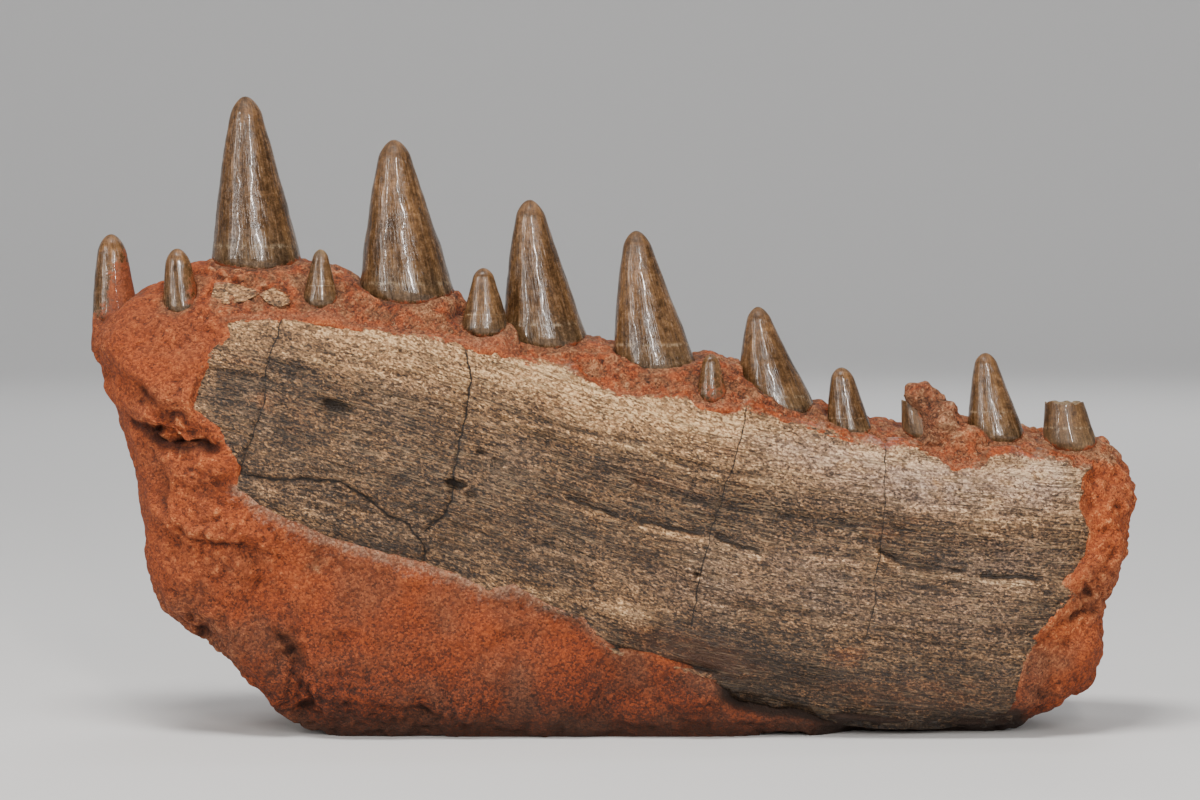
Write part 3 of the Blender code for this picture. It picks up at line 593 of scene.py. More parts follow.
# Patches of colour and of painted light: x, z, half length, half height, rise in degrees, strength
# Besides real dark patches, the dark ones hold painted shade in the recess and where the foot turns under.
# Besides real pale bands, the pale ones hold painted highlights on lips and glints.
PATCHES = {
    "pale": [
        (-75.6, 126.4, 26.3, 3.4, -6, 0.6), (-16.8, 114, 21.7, 5, -13, 0.9), (7.9, 104, 15.5, 4.3, -18, 0.7),
        (32.7, 98, 18.6, 4, -8, 0.6), (88.4, 88.2, 34.1, 4.3, -5, 0.6), (134.8, 82, 12.4, 4, -2, 0.6),
        (-21.5, 45.5, 14.9, 3, -6, 0.7), (4.2, 40.5, 13, 4.3, -15, 0.6), (32.7, 52.9, 18.6, 4.3, -14, 0.35),
        (118.7, 70.9, 5.6, 6.2, 0, 0.6), (-126.4, 108.7, 1.9, 12.4, -12, 0.7),
        (-96.4, 119, 13.6, 1, -17, 0.6), (-97.3, 69.1, 15.5, 2.5, -16, 0.35),
        (32.7, 64.1, 18.6, 1.3, -14, 0.35), (82.2, 52.9, 18.6, 1.5, -10, 0.3),
        (122.4, 47.4, 18.6, 3.7, -6, 0.35), (-50, 112, 10, 8, -15, 0.3), (-45, 117, 26, 6, -15, 0.4),
        (-16, 106, 20, 5.5, -18, 0.45), (38, 93, 18, 7, -12, 0.4), (63, 54, 13, 8, -8, 0.5),
        (76, 39, 15, 7, -8, 0.35), (30, 44, 13, 7, -14, 0.3), (-4.5, 75, 8, 3.5, -15, 0.35),
        (-30, 48, 14, 4, -14, 0.4), (138, 81, 14, 7, -2, 0.4)],
    "dark": [
        (-115.5, 111, 6, 8, -20, 0.7), (-98, 116, 11, 3.5, -26, 0.8), (-101, 100, 9, 8, 0, 0.35),
        (-104, 124, 9, 5, -5, 0.35), (-87.4, 102.5, 5.6, 3.7, -20, 0.6), (-100.4, 94.5, 10.5, 6.8, -10, 0.4),
        (-66.4, 78.4, 13.9, 8, -10, 0.35), (-16.8, 67.5, 13.9, 7.7, -15, 0.4),
        (-4.5, 73.7, 27.9, 3.1, -15, 0.45), (-7.6, 86.1, 21.7, 3.7, -20, 0.4), (37, 71, 20, 8, -13, 0.8),
        (72.9, 66.6, 15.5, 2.5, -10, 0.6), (34.2, 25, 20, 9.3, -12, 0.9), (80, 20, 38, 10, -4, 0.9),
        (28, 28, 22, 5, -14, 0.7), (-84, 121, 14, 6, -8, 0.35), (-16.8, 81, 9, 4.5, -18, 0.3),
        (88, 76, 12, 4, -6, 0.3), (-122, 104, 8, 9, 0, 0.5), (92, 65, 24, 6, -6, 0.4),
        (31, 20, 17, 5, -17, 0.8), (7.9, 55.1, 18.6, 5, -14, 0.2), (107, 53.6, 24.8, 3.1, -6, 0.3),
        (119.3, 31.9, 18.6, 12.4, 0, 0.15)],
    "rust": [
        (37.3, 90.8, 9.3, 3.1, -8, 0.5), (85.3, 64.4, 9.9, 2.5, -8, 0.7), (-115.9, 118.5, 4.3, 2.5, 0, 0.6),
        (-109, 105.5, 5, 3.5, 0, 0.8), (-97, 101, 7, 7, 0, 0.45), (23.7, 63.8, 2.2, 1.2, 0, 0.9),
        (73, 26.7, 5.2, 2.6, 8, 3.2), (92, 14, 32, 7, -3, 0.8), (24, 28, 20, 6, -14, 1.5),
        (14, 79, 20, 5, -15, 0.5), (-27.7, 84.6, 12.4, 3.1, -18, 0.3), (12.6, 106.2, 7.7, 3.1, -15, 0.3)],
    "lilac": [
        (97, 79.5, 28, 8.5, -5, 0.8), (60, 90, 20, 6, -8, 0.5), (136, 80, 14, 9, -3, 0.6),
        (62, 52, 20, 12, -8, 0.35), (-80.6, 56.7, 3.1, 2.5, -20, 0.9), (-57.7, 48.6, 7.4, 2.5, -20, 0.9),
        (122.4, 56.7, 18.6, 6.2, -5, 0.4), (26.5, 47.4, 21.7, 7.4, -12, 0.3), (107, 38.1, 31, 9.3, -4, 0.3)]}


def along_line(points, shares):
    """Points at shares of a broken line's length."""
    points = np.array(points, float)
    runs = np.concatenate([[0], np.cumsum(np.hypot(*np.diff(points, axis=0).T))])
    return np.stack([np.interp(shares * runs[-1], runs, points[:, k]) for k in (0, 1)], axis=-1)


def sheet_places(foot, top, left, right, s, t):
    """Places on the sheet stretched between four edges."""
    foot_at, top_at, left_at, right_at = (along_line(edge, share) for edge, share in
                                          ((foot, s), (top, s), (left, t), (right, t)))
    s, t = s[:, None], t[:, None]
    low = np.array(foot[0]) * (1 - s) + np.array(foot[-1]) * s
    high = np.array(top[0]) * (1 - s) + np.array(top[-1]) * s
    return foot_at * (1 - t) + top_at * t + left_at * (1 - s) + right_at * s - low * (1 - t) - high * t


def blurred(field, rounds):
    for _ in range(rounds):
        for axis in (0, 1):
            before = np.take(field, [0, *range(field.shape[axis] - 1)], axis)
            after = np.take(field, [*range(1, field.shape[axis]), field.shape[axis] - 1], axis)
            field = field * 0.5 + before * 0.25 + after * 0.25
    return field


def patches_at(x, z, patches, steep=1):
    """How strongly each place lies in a list of patches, whose edges are softest when steep is 1."""
    total = np.zeros(len(x))
    for px, pz, long, tall, rise, strength in patches:
        turn = math.radians(rise)
        u = ((x - px) * math.cos(turn) + (z - pz) * math.sin(turn)) / long
        v = ((z - pz) * math.cos(turn) - (x - px) * math.sin(turn)) / tall
        total += strength * np.exp(-((u * u + v * v) ** steep))
    return total


bone_shape = bmesh.new()
bmesh.ops.create_grid(bone_shape, x_segments=BONE_ALONG, y_segments=BONE_UP, size=1)
grid = np.array([v.co[:2] for v in bone_shape.verts])
s, t = ((line + 1) / 2 * (1 + 2 * OVERLAP / size) - OVERLAP / size
        for line, size in zip(grid.T, (SHEET_LONG, SHEET_TALL)))
s_in, t_in = clamp(s), clamp(t)
flat = sheet_places(BONE_FOOT, BONE_TOP, BONE_LEFT, BONE_RIGHT, s_in, t_in)
rim = np.minimum.reduce([s * SHEET_LONG, (1 - s) * SHEET_LONG, t * SHEET_TALL, (1 - t) * SHEET_TALL])
cast = flat + [SHIFT_X, 0]
flat += np.stack([(s - s_in) * SHEET_LONG, (t - t_in) * SHEET_TALL], axis=1)
spread_at = np.stack([flat[:, 0], flat[:, 0] * 0, flat[:, 1]], axis=1)
x, z = flat.T

bone_solid = bmesh.new()
add_solid(bone_solid, "jaw_bone")
bone_tree = BVHTree.FromBMesh(bone_solid)
face = np.empty(len(x))
for i, (px, pz) in enumerate((cast + (np.array(BONE_MIDDLE) - cast) * DRAWN_IN).tolist()):
    hit = bone_tree.ray_cast(Vector((px * MM, IN_FRONT, pz * MM)), Vector((0, 1, 0)))[0]
    hit = hit or bone_tree.find_nearest(Vector((px * MM, NEAR_FACE, pz * MM)))[0]
    face[i] = hit.y / MM
bone_solid.free()
order = np.lexsort((s, t))
field = face[order].reshape(BONE_UP + 1, BONE_ALONG + 1)
face[order] = blurred(field, 30).ravel()

# The grain runs down to the right, steeply in the middle of the jaw and hardly at all at its right end
stops = [-140, -120, -60, -20, 20, 60, 100, 150]
slopes = np.tan(np.radians([13, 14, 16.5, 19, 15, 10, 7, 5]))
fine_x = np.linspace(-140, 160, 601)
fall = np.concatenate([[0], np.cumsum(np.interp(fine_x[1:], stops, slopes) * 0.5)])
across = z + np.interp(x, fine_x, fall) + 0.6 * noise_at(spread_at, 18, 40)
run = x * 1.04
fibre_place = np.stack([run, across * 0, across], axis=1)


def fibre_noise(shrink, size, seed):
    """Noise on the sheet, drawn out along the grain."""
    return noise_at(fibre_place * [shrink, 1, 1], size, seed)


# Fibres, splits, dents and cracks in the face
ribbed = np.abs(fibre_noise(0.07, 2.6, 25))
lift = fibre_noise(0.08, 1.5, 21) * 0.2 + fibre_noise(0.12, 4, 22) * 0.3
lift = lift + fibre_noise(0.5, 1.7, 23) * 0.1 + fibre_noise(0.3, 11, 24) * 0.6
lift = lift - 0.5 * clamp(0.12 - ribbed) / 0.12 * (fibre_noise(1, 25, 26) > -0.1)
jitter_x = x + noise_at(spread_at, 3, 27) * 0.6 + noise_at(spread_at, 9, 28) * 0.7
jitter_z = z + noise_at(spread_at, 3, 29) * 0.5
for points, _, depth in CRACKS:
    lift -= depth * 0.7 * soft(line_distance(jitter_x, jitter_z, points), 0.7)
wavy_z = z + 1.2 * noise_at(spread_at * [1, 1, 0], 14, 30) + 0.4 * noise_at(spread_at, 3, 33)
broken = np.clip(0.85 + 1.4 * noise_at(spread_at, 6, 34), 0.15, 1)
split, lip = np.zeros(len(x)), np.zeros(len(x))
for points, depth in SPLITS:
    away = line_distance(x, wavy_z, points)
    lift -= depth * 1.2 * broken * np.where(away > 0, soft(away, 1.5), soft(away, 0.5))
    lift += depth * 0.7 * broken * soft(away + 1.8, 1.1)
    # The split lines are darkened as gaps, with painted shade beside them
    split = np.maximum(split, np.minimum(depth * 1.3, 0.98) * clamp(broken * 1.3) * soft(away, 0.8))
    # The lip below each split gets a painted highlight
    lip = np.maximum(lip, np.minimum(depth * 1.4, 1) * broken * soft(away + 1.6, 1))


def dents_at(right, up, longer=1, taller=1):
    """The dents, moved and resized."""
    return patches_at(jitter_x + right, jitter_z + up,
                      [(px, pz, long * longer, tall * taller, DENT_RISE, depth)
                       for px, pz, long, tall, depth in DENTS], 3)


dents = dents_at(0, 0)
lift -= dents * 1.4
# Painted shadow on the upper left inside each dent, as from light above
split = np.maximum(split, clamp(dents_at(0.8, -0.6, 0.8, 0.75)) * 0.85)
# A painted highlight on the lower right rim of each dent
lip = np.maximum(lip, np.clip(dents_at(-0.8, 0.9) - np.maximum(dents, 0) * 1.3, 0, 0.8))

# The rim drops into the rock, crumbled, and the foot rolls under
ragged = 0.5 + 0.9 * noise_at(spread_at, 4.5, 11) + 0.6 * noise_at(spread_at, 1.9, 12)
edge = rim + (ragged + noise_at(spread_at, 12, 13))
inside = np.maximum(edge, 0)
lower_left = between(x, 10, -10) * (t_in < 0.5)
drop = np.where(edge < 0.6, (0.6 - edge) * np.where(t_in > 0.5, 2.6, 1.5), 0)
drop += (0.5 - 0.3 * lower_left) * np.exp(-inside / 1.5)
drop += lower_left * 0.3 * np.exp(-inside / 4)
crumbled = noise_at(spread_at, 2.1, 35) * 0.7 + noise_at(spread_at, 4.5, 36) * 0.5
drop += crumbled * np.exp(-inside / (2 + 3 * lower_left))
foot = between(x, *FOOT_STARTS) * between(z, 12, 5)
drop += foot**2 * 3.5
# Painted shade along the rim where the bone overhangs, and on the foot that rolls under
overhang_shade = between(x, *OVERHANG_STARTS) * between(x, 118, 106) * (t_in < 0.3) * soft(inside, 2.6)
y = np.maximum(face - lift + drop, lowest[1] + 0.1)
z = np.maximum(z, 0.2)

bone_layers = {
    "down": 1 - t_in, "edge": edge, "lift": lift, "split": split, "coarse": between(x, -62, -97),
    "foot": np.maximum(foot, overhang_shade), "flush": lower_left, "lip": lip,
    **{name: patches_at(jitter_x, jitter_z, patches) for name, patches in PATCHES.items()},
    **{f"crack_{i}": line_distance(jitter_x, jitter_z, points) for i, (points, _, _) in enumerate(CRACKS)}}

for v, px, py, pz in zip(bone_shape.verts, x, y, z):
    v.co = ((px + SHIFT_X) * MM, py * MM, pz * MM)
uv_layer = bone_shape.loops.layers.uv.new("grain")
for f in bone_shape.faces:
    for loop in f.loops:
        i = loop.vert.index
        loop[uv_layer].uv = (run[i] * MM, across[i] * MM)
border = [e for e in bone_shape.edges if e.is_boundary]
rolled = bmesh.ops.extrude_edge_only(bone_shape, edges=border)["geom"]
back_verts = [v for v in rolled if isinstance(v, bmesh.types.BMVert)]
bmesh.ops.translate(bone_shape, vec=(0, RIM_BACK * MM, 0), verts=back_verts)
back_edges = [e for e in rolled if isinstance(e, bmesh.types.BMEdge) and e.is_boundary]
bmesh.ops.contextual_create(bone_shape, geom=back_edges)
bmesh.ops.recalc_face_normals(bone_shape, faces=bone_shape.faces)
extra = len(bone_shape.verts) - len(x)
bone_mesh = mesh_from(bone_shape, "jaw_bone_face")
for name, values in bone_layers.items():
    at_back = -3 if name == "edge" else NO_CRACK if "crack" in name else 0.5
    add_layer(bone_mesh, name, np.concatenate([values, np.full(extra, at_back)]))
bone_mesh.shade_smooth()
bone = new_object("jaw_bone_face", bone_mesh)

fossil_bone, kit, here = new_finish("fossil_bone")
grain_uv = kit.node("UVMap", {"uv_map": "grain"})
(down_in, edge_in, lift_in, split_and_shade_in, coarse_in, foot_shade_in, flush_in, lip_highlight_in, pale_and_highlight_in, dark_and_shade_in, rust_in,
 lilac_in) = (kit.layer(name) for name in bone_layers if "crack" not in name)


def fibres(size, detail, rough, stretch, seed=0):
    """Noise that is drawn out along the bone's grain, the more the smaller its stretch is."""
    return kit.noise(grain_uv, size, detail, rough, (stretch, 1, 1), seed)


fibre = fibres(1, 3, 0.65, 0.2)
strand = fibres(3.2, 3, 0.6, 0.17, 2)
blotch = fibres(15, 3, 0.65, 0.5, 4)
mottle = fibres(4, 3, 0.7, 0.7, 5)
crumb = fibres(0.65, 2, 0.8, 0.7, 6)
fleck, fleck_dome = kit.grains(grain_uv, 0.55, (0.6, 1, 1))
# The upper band is lighter: partly its own cream colour, partly painted light from above.
upper = down_in.under(0.08, 0.36)
# The recess below it is given a little painted shade.
recess = down_in.over(0.24, 0.36) * down_in.under(0.44, 0.54)
crumbly = coarse_in * 0.35 + down_in.over(0.5, 0.85) * 0.45
# Painted light in the tone: the face is painted darker where it is sunk and lighter where it is raised.
# The lowest band, where the bone turns under, gets painted shade.
tone = (0.32 + (fibre * 0.07 + strand * 0.075) * (1 - crumbly) + blotch * 0.075
        + mottle * (0.065 + crumbly * 0.09) + crumb * 0.25 + fleck * 0.26 + upper * 0.22 - recess * 0.02
        - down_in.over(0.8, 1) * 0.07 + pale_and_highlight_in * 0.28 - dark_and_shade_in * 0.2 + lift_in * 0.13 - foot_shade_in * 0.22
        + lip_highlight_in * 0.25)
grey = kit.noise(grain_uv, 20, 2, seed=14).over(-0.3, 1) * (1 - upper) * 0.3
lilac = lilac_in * mottle.over(-1.6, 0.6)
rust = rust_in + fibres(13, 2, 0.65, 0.5, 7).over(0.5, 1.4) * 0.5
rust = (rust * (mottle * 0.8 + 1.1)).over(0.1, 1.2) * 0.65 + rust.over(1.5, 2.8) * 0.25
threads = fibres(1, 2, 0.6, 0.06, 31).abs().under(0.03, 0.22) * strand.over(-0.9, 0.5)
pores = fibres(1.4, 1, 0.6, 0.5, 12).over(0.9, 1.4)
veins = fibres(2.2, 2, 0.6, 0.065, 16).abs().under(0.04, 0.17)
veins = veins * fibres(12, 1, 0.5, 0.4, 17).over(-0.6, 0.4)
hairs = fibres(1.1, 1, 0.5, 0.07, 21).abs().under(0.05, 0.22) * strand.over(-0.5, 0.7)
veins = kit.math("MAXIMUM", veins, hairs * 0.8) * (1 - crumbly * 0.8)
gape = split_and_shade_in.over(0.15, 0.9) * 0.45 + (split_and_shade_in + crumb * 0.06 + mottle * 0.05).over(0.7, 0.88) * 0.5
powder = (kit.noise(here, 1.6, 3, 0.8, seed=25) * 2 + 1.6 - edge_in).over(-0.3, 1.8) * flush_in
dusted = kit.noise(here, 1.2, 3, 0.8, seed=18) * 1.2 + kit.noise(here, 7, 1, seed=24) * 0.7
dusted = (dusted + 0.6 - edge_in).over(-0.1, 0.5) * foot_shade_in.under(0, 0.4)
dust_tone = 0.5 + fleck * 0.15 + crumb * 0.12 + mottle * 0.05
tan_dust = (kit.noise(here, 7, 3, 0.7, seed=26) * 1.2 + upper * 0.35).over(-0.2, 1) * 0.85
jog = kit.noise(here, 1.3, 2, seed=23)
opening = None
for i, (_, half, _) in enumerate(CRACKS):
    apart = (kit.layer(f"crack_{i}") + jog * 0.13).abs() / (half * (0.9 + mottle * 0.45 + blotch * 0.35))
    opening = apart if opening is None else kit.math("MINIMUM", opening, apart)
bone_colour = coated(
    tone.ramp((0.03, (0.014, 0.0075, 0.0035)), (0.26, (0.068, 0.034, 0.015)), (0.48, (0.18, 0.093, 0.04)),
              (0.72, (0.45, 0.24, 0.1)), (0.97, (0.84, 0.55, 0.275))),
    (grey, tone.shades((0.028, 0.02, 0.0145), (0.155, 0.111, 0.077), (0.55, 0.43, 0.31), 0.1)),
    (lilac * 0.75, tone.shades((0.075, 0.05, 0.042), (0.26, 0.185, 0.155), (0.66, 0.52, 0.45))),
    (rust, tone.shades((0.07, 0.023, 0.008), (0.29, 0.11, 0.035), (0.6, 0.3, 0.12))),
    (threads * (1 - crumbly) * 0.4, (0.5, 0.33, 0.18)),
    (pores * 0.8, (0.02, 0.012, 0.008)),
    (veins * 0.65, (0.028, 0.016, 0.01)),
    (gape, (0.018, 0.011, 0.007)),
    (powder * 0.8,
     (0.5 + fleck * 0.17 + crumb * 0.14).shades((0.06, 0.028, 0.02), (0.2, 0.1, 0.07), (0.42, 0.27, 0.2))),
    (dusted, tan_dust.tint(sandstone_shades(dust_tone),
                           dust_tone.shades((0.05, 0.021, 0.01), (0.22, 0.102, 0.05), (0.5, 0.33, 0.2)))),
    (opening.under(0.7, 1.5) * 0.93, (0.01, 0.006, 0.004)))
finish_with(kit, bone_colour, 0.54 - strand * 0.05 - crumb * 0.05 - lilac_in * 0.12,
            strand * 0.13 + fibre * 0.13 + crumb * 0.18 + fleck_dome * 0.34 + threads * 0.15 - veins * 0.45
            - pores * 0.35 - (split_and_shade_in + mottle * 0.05).over(0.6, 0.95) * 0.5,
            Specular_IOR_Level=0.36)
bone_mesh.materials.append(fossil_bone)
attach(bone, "root")
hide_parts("jaw_bone")

# Two chips of the same bone, thin flakes that lie in the rock above the jaw. Each is the solid chip with its
# faces divided, roughened and softened at the rim. They share the bone's finish.
# What that finish reads on them, where it isn't 0
CHIP_LAYERS = {"down": 0.1, "pale": 0.1, "rust": 0.4, "coarse": 1}
for chip_name in CHIPS:
    chip_shape = bmesh.new()
    add_solid(chip_shape, chip_name)
    bmesh.ops.subdivide_edges(chip_shape, edges=chip_shape.edges, cuts=5, use_grid_fill=True)
    bmesh.ops.triangulate(chip_shape, faces=chip_shape.faces)
    bmesh.ops.subdivide_edges(chip_shape, edges=chip_shape.edges, cuts=1)
    chip_mesh = mesh_from(chip_shape, chip_name + "_flake")
    places = relaxed(chip_mesh, places_of(chip_mesh)[0], 2)
    places[:, 0] += (places[:, 0] - places[:, 0].mean()) * 0.1
    set_places(chip_mesh, places)
    places, normals = places_of(chip_mesh)
    places += normals * (noise_at(places, 1.6, 31) * 0.3 + noise_at(places, 5, 32) * 0.5)[:, None]
    places[:, 1] -= 0.5
    set_places(chip_mesh, places)
    uv = chip_mesh.uv_layers.new(name="grain")
    corner = np.empty(len(chip_mesh.loops), np.int32)
    chip_mesh.loops.foreach_get("vertex_index", corner)
    uv.data.foreach_set("uv", (places[corner][:, [0, 2]] * MM).astype(np.float32).ravel())
    half = np.ptp(places, axis=0) / 2
    out = (places - places.mean(axis=0)) / half
    inward = 1 - np.hypot(out[:, 0], out[:, 2])
    for name in bone_layers:
        value = NO_CRACK if "crack" in name else CHIP_LAYERS.get(name, 0)
        value = inward * 6 + 0.3 if name == "edge" else value
        add_layer(chip_mesh, name, np.full(len(places), value))
    chip_mesh.shade_smooth()
    chip_mesh.materials.append(fossil_bone)
    chip = new_object(chip_name + "_flake", chip_mesh)
    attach(chip, "root")
    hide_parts(chip_name)

# The teeth. Solid conical crowns of brown, glossy fossil enamel, finely ribbed from base to tip and leaning
# back, each in its own socket in the ridge. Each is turned from a profile, leaned and worn a little.
CROWN_RINGS = 44
ROUND_STEPS, ROUND_STEPS_LARGE, LARGE_WIDTH = 56, 80, 20
# The broken top of a short crown: how far each ring lies below its edge, and the ring's share of its width
BROKEN_TOP = [(0, 0.93), (0.3, 0.8), (0.6, 0.55), (0.8, 0.25), (0.9, 0)]
# The share of the height at which a pale growth ring shows
ENAMEL_RINGS = {"tooth_03": 0.1, "tooth_04": 0.3, "tooth_05": 0.08, "tooth_06": 0.24, "tooth_07": 0.12,
                "tooth_08": 0.17, "tooth_10": 0.12, "tooth_11": 0.2, "tooth_13": 0.3, "tooth_14": 0.16}
# The film of rock on a crown: its rise to the right, its strength at the base and its loss upwards
ROCK_FILM = {"tooth_01": (0.9, 1, 1.3), "tooth_02": (0.8, 0.3, 0.6), "tooth_09": (0, 0.55, 0.5),
             "tooth_12": (1, 0.6, 0)}


def crown_radius(share, taper):
    """A crown's radius at a share of its height, where the base has 1. A blunt one has a longer tip."""
    radius = 1 - taper * share**1.15
    tip = 0.12 + 0.53 * max(0, 0.73 - taper)
    if share > 1 - tip:
        radius *= math.sqrt(max(0, 1 - ((share - 1 + tip) / tip) ** 2))
    return radius


def turned(profile, steps, merge):
    """A shape turned from a line of heights and radii."""
    shape = bmesh.new()
    verts = [shape.verts.new((radius, 0, up)) for up, radius in profile]
    edges = [shape.edges.new(pair) for pair in zip(verts, verts[1:])]
    bmesh.ops.spin(shape, geom=verts + edges, cent=(0, 0, 0), axis=(0, 0, 1), angle=math.tau, steps=steps,
                   use_merge=True)
    bmesh.ops.remove_doubles(shape, verts=shape.verts, dist=merge)
    bmesh.ops.recalc_face_normals(shape, faces=shape.faces)
    return shape


olive_enamel, kit, here = new_finish("olive_enamel")
rib_uv = kit.node("UVMap", {"uv_map": "ribs"})
up_in, broken_in, rise_in, ring_in, film_in, stub_in = (
    kit.layer(name) for name in ("up", "broken", "rise", "ring", "film", "stub"))
rib = kit.noise(rib_uv, 0.8, 2, 0.65, (1, 0.09, 1))
wide_rib = kit.noise(rib_uv, 2.6, 2, 0.6, (1, 0.1, 1), seed=2)
mottle = kit.noise(here, 2.6, 4, 0.75, seed=3)
cloudy = kit.noise(here, 11, 3, 0.6, (1, 1, 0.5), seed=5)
speck = kit.noise(here, 0.8, 2, 0.7, seed=6.5)
tone = (0.395 + mottle * 0.13 + cloudy * 0.1 + wide_rib * 0.08 + rib * 0.08 + speck * 0.08
        + up_in.over(0.3, 1) * 0.04 + stub_in * 0.06)
amber = (cloudy * 0.7 + mottle * 0.4 + up_in * 1.1 - 0.6).over(0, 1.3)
ring = (up_in - ring_in + wide_rib * 0.004 + mottle * 0.006).abs().under(0.001, 0.02)
scratch = kit.noise(rib_uv, 1.3, 1, 0.5, (1, 0.05, 1), seed=9).abs().under(0.02, 0.08)
scratch = scratch * cloudy.over(-0.4, 0.6)
film = (film_in * 1.7 - 0.75 + cloudy * 0.5 + mottle * 0.6 + speck * 0.25).over(0, 0.7)
film = film * film_in.over(0, 0.15)
dusty_foot = (speck * 0.4 + mottle * 0.9 + 0.5 - rise_in).over(-0.4, 0.8)
dirt = kit.math("MAXIMUM", film * 0.8, dusty_foot * 0.9)
enamel_colour = coated(
    tone.ramp((0.05, (0.01, 0.005, 0.002)), (0.3, (0.048, 0.023, 0.0085)), (0.5, (0.135, 0.068, 0.026)),
              (0.72, (0.31, 0.178, 0.077)), (0.95, (0.58, 0.41, 0.23))),
    (amber * 0.5,
     tone.ramp((0.2, (0.065, 0.026, 0.01)), (0.6, (0.25, 0.115, 0.045)), (0.9, (0.5, 0.28, 0.13)))),
    (up_in.under(0.03, 0.25) * 0.3, tone.ramp((0.2, (0.03, 0.022, 0.012)), (0.8, (0.19, 0.145, 0.085)))),
    (ring * (mottle + 0.4).over(0, 1) * 0.3, (0.5, 0.4, 0.26)),
    (scratch * 0.5, (0.03, 0.017, 0.008)),
    (broken_in * 0.8,
     tone.ramp((0.15, (0.05, 0.032, 0.018)), (0.6, (0.26, 0.18, 0.1)), (0.9, (0.5, 0.4, 0.27)))),
    (dirt, sandstone_shades(0.42 + speck * 0.12 + mottle * 0.08)))
clean = (1 - dirt) * (1 - broken_in) * (1 - stub_in * 0.4)
worn_tip = up_in.over(0.86, 0.97) * (1 - stub_in)
finish_with(kit, enamel_colour, 0.24 + rib * 0.04 + mottle * 0.05 + (1 - clean) * 0.55 + worn_tip * 0.3,
            wide_rib * 0.035 + rib * 0.03 + speck * 0.006 + mottle * 0.02 - scratch * 0.03
            + dirt * (speck * 0.1 + mottle * 0.15),
            Coat_Weight=clean * (1 - worn_tip) * (speck * 0.3 + rib * 0.4 + mottle * 0.2 + 0.3).over(0, 1),
            Coat_Roughness=0.06, Specular_IOR_Level=0.3)

for tooth_name, (tip_x, tip_z, base_x, base_z, width, depth, kept, taper) in TEETH.items():
    height, stub = tip_z - base_z, kept < 1
    root = max(3.8, 0.14 * height)
    shares = [(1 - (1 - i / CROWN_RINGS) ** 1.5) * kept for i in range(CROWN_RINGS + 1)]
    profile = [(-root, 0), (-root, 0.8)]
    profile += [(share * height, crown_radius(share, taper)) for share in shares]
    if stub:
        profile += [(kept * height - low, crown_radius(kept, taper) * inset) for low, inset in BROKEN_TOP]
    else:
        profile[-1] = (height, 0)
    tooth_shape = turned([(up, radius * width / 2) for up, radius in profile],
                         ROUND_STEPS_LARGE if width > LARGE_WIDTH else ROUND_STEPS, 0.0005)
    uv_layer = tooth_shape.loops.layers.uv.new("ribs")
    for f in tooth_shape.faces:
        turns = [math.atan2(loop.vert.co.x, -loop.vert.co.y) if loop.vert.co.xy.length > 1e-4 else None
                 for loop in f.loops]
        known = [turn for turn in turns if turn is not None]
        for loop, turn in zip(f.loops, turns):
            turn = sum(known) / len(known) if turn is None else turn
            if max(known) - min(known) > math.pi and turn < 0:
                turn += math.tau
            loop[uv_layer].uv = (turn * width / 2 * MM, loop.vert.co.z * MM)
    up, broken, rise, film = [], [], [], []
    to_side, at_base, loss = ROCK_FILM.get(tooth_name, (0, 0, 0))
    seed = Vector((base_x, 3, base_z))
    for v in tooth_shape.verts:
        share = v.co.z / height
        turn = math.atan2(v.co.y, v.co.x)
        round_place = Vector((math.cos(turn), math.sin(turn), v.co.z / 12))
        wear = 1 + 0.035 * noise.noise(round_place * 1.3 + seed) + 0.015 * noise.noise(round_place * 4 + seed)
        on_top = stub and v.co.z > kept * height - 1
        jag = 1.3 * noise.noise(Vector((v.co.x / 2.2, v.co.y / 2.2, 0)) + seed) - 0.3 if on_top else 0
        up.append(share)
        rise.append(v.co.z - 1.5 + 4 * max(0, -v.co.y / max(v.co.xy.length, 1e-6)) ** 1.5)
        if on_top and v.co.xy.length < crown_radius(kept, taper) * width / 2 * 0.97:
            broken.append(1)
        else:
            broken.append(min(1, max(0, share - 0.8) * 5) if tooth_name == "tooth_04" else 0)
        film.append(to_side * (v.co.x / width * 2) + at_base - loss * share)
        lean = (tip_x - base_x) * (1 - max(0, 1 - share) ** 1.4)
        v.co = Vector((base_x + SHIFT_X + lean + v.co.x * wear, depth + SHIFT_Y + v.co.y * TOOTH_DEPTH * wear,
                       base_z + v.co.z + jag)) * MM
    tooth_mesh = mesh_from(tooth_shape, tooth_name + "_crown")
    tooth_layers = {"up": up, "broken": broken, "rise": rise, "film": clamp(film),
                    "ring": [ENAMEL_RINGS.get(tooth_name, -1)] * len(up), "stub": [float(stub)] * len(up)}
    for name, values in tooth_layers.items():
        add_layer(tooth_mesh, name, values)
    tooth_mesh.shade_smooth()
    tooth_mesh.materials.append(olive_enamel)
    tooth = new_object(tooth_name + "_crown", tooth_mesh)
    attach(tooth, "root")
    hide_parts(tooth_name)

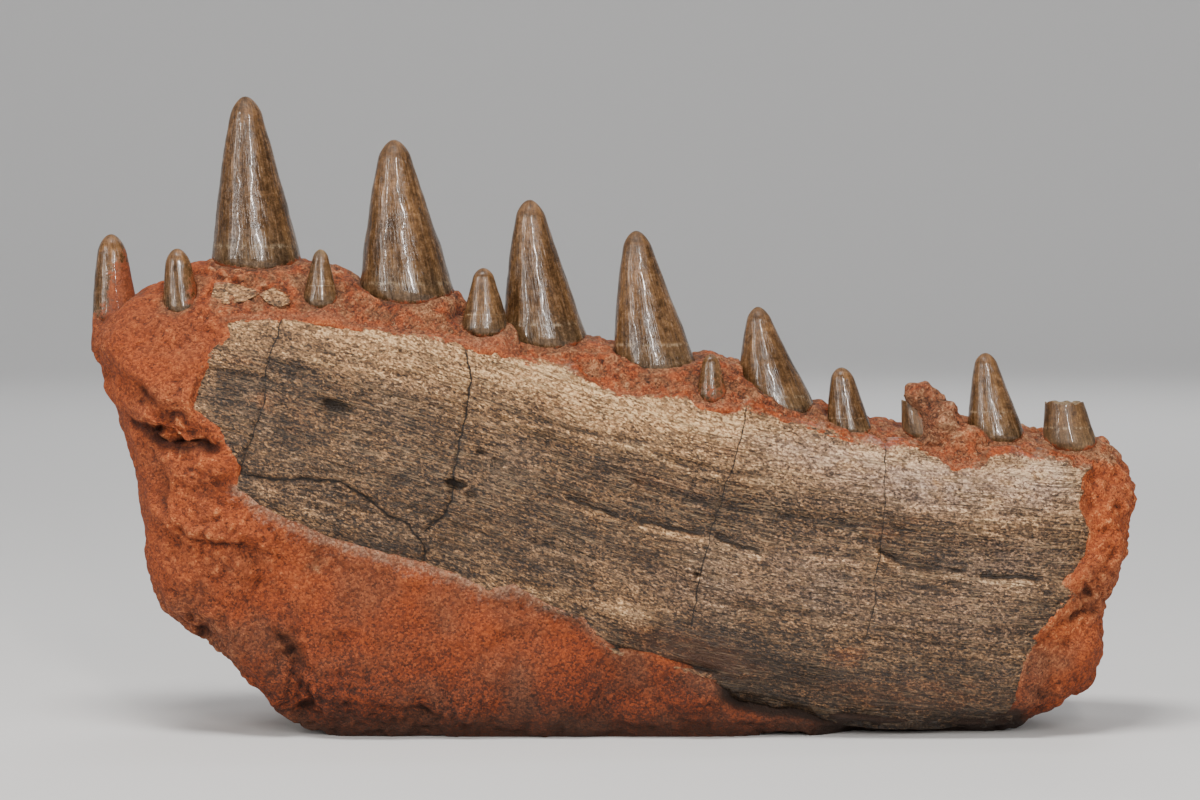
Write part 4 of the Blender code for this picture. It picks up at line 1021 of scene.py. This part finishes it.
# The photographer's table: a round sheet of pale paper that curves up all round. The jaw is lit from above,
# from the left, from over the camera, from the right and from behind, and two more lights only put a gloss on
# it. The camera looks down a little on the middle of the jaw. Sizes and places here are in metres.
PAPER_FLAT, PAPER_CURVE, PAPER_TOP = 2.6, 1.2, 4
bends = [math.pi / 2 * k / 14 for k in range(1, 15)]
paper_line = [(0, 0), (0, 1.2), (0, PAPER_FLAT)]
paper_line += [(PAPER_CURVE - PAPER_CURVE * math.cos(bend), PAPER_FLAT + PAPER_CURVE * math.sin(bend))
               for bend in bends]
cove_shape = turned(paper_line + [(PAPER_TOP, PAPER_FLAT + PAPER_CURVE)], 96, 0.0001)
bmesh.ops.reverse_faces(cove_shape, faces=cove_shape.faces)
cove_mesh = mesh_from(cove_shape, "paper_cove")
cove_mesh.shade_smooth()
pale_paper, kit, here = new_finish("pale_paper")
finish_with(kit, (0.66, 0.655, 0.65, 1), 0.9, kit.noise(here, 3, 3) * 0.02)
cove_mesh.materials.append(pale_paper)
paper = new_object("paper_cove", cove_mesh)


def add_light(name, place, target, size, watts, colour=(1, 1, 1), glossy=True, diffuse=True):
    lamp = bpy.data.lights.new(name, "AREA")
    lamp.shape = "RECTANGLE"
    lamp.size, lamp.size_y = size
    lamp.energy = watts
    lamp.color = colour
    made = new_object(name, lamp)
    made.location = place
    made.rotation_euler = (Vector(target) - Vector(place)).to_track_quat("-Z", "Y").to_euler()
    made.visible_glossy = glossy
    made.visible_diffuse = diffuse


add_light("top_light", (-0.15, -0.32, 1.1), (0, 0, 0.08), (0.45, 0.3), 12.5, (1, 0.98, 0.95))
add_light("left_strip", (-0.86, -0.86, 0.55), (0, 0, 0.12), (0.03, 0.9), 7, (1, 0.97, 0.93))
add_light("front_strip", (0.2, -1.33, 0.6), (0, 0, 0.12), (0.05, 0.8), 11, (1, 0.95, 0.9))
add_light("sheen_strip", (0.22, -1.33, 0.62), (0, 0, 0.14), (0.05, 0.8), 14, (1, 0.97, 0.94), diffuse=False)
add_light("sheen_panel", (-1.1, -0.68, 0.5), (0, 0, 0.14), (0.25, 0.8), 6, (1, 0.95, 0.9), diffuse=False)
add_light("right_fill", (1, -0.7, 0.45), (0, 0, 0.08), (0.4, 0.5), 4.5, glossy=False)
add_light("back_light", (0.5, 1.9, 1.3), (0, 0, 0.1), (0.9, 0.6), 10)
add_light("backdrop_light", (0, 1, 2.4), (0, 3.6, 0.8), (2, 0.4), 40, glossy=False)

room = bpy.data.worlds.new("studio")
room.use_nodes = True
room.node_tree.nodes["Background"].inputs["Color"].default_value = (0.9, 0.93, 1, 1)
room.node_tree.nodes["Background"].inputs["Strength"].default_value = 0.2
bpy.context.scene.world = room

LENS, FILM_WIDTH = 100, 36
LOOKS_AT = (-0.00446, SHIFT_Y * MM, 0.1039)
CAMERA_AWAY, LOOKS_DOWN = 1.078, math.radians(3)
lens = bpy.data.cameras.new("photo_camera")
lens.lens = LENS
lens.sensor_width = FILM_WIDTH
camera = new_object("photo_camera", lens)
camera.location = (LOOKS_AT[0], LOOKS_AT[1] - CAMERA_AWAY * math.cos(LOOKS_DOWN),
                   LOOKS_AT[2] + CAMERA_AWAY * math.sin(LOOKS_DOWN))
camera.rotation_euler = (math.pi / 2 - LOOKS_DOWN, 0, 0)
bpy.context.scene.camera = camera
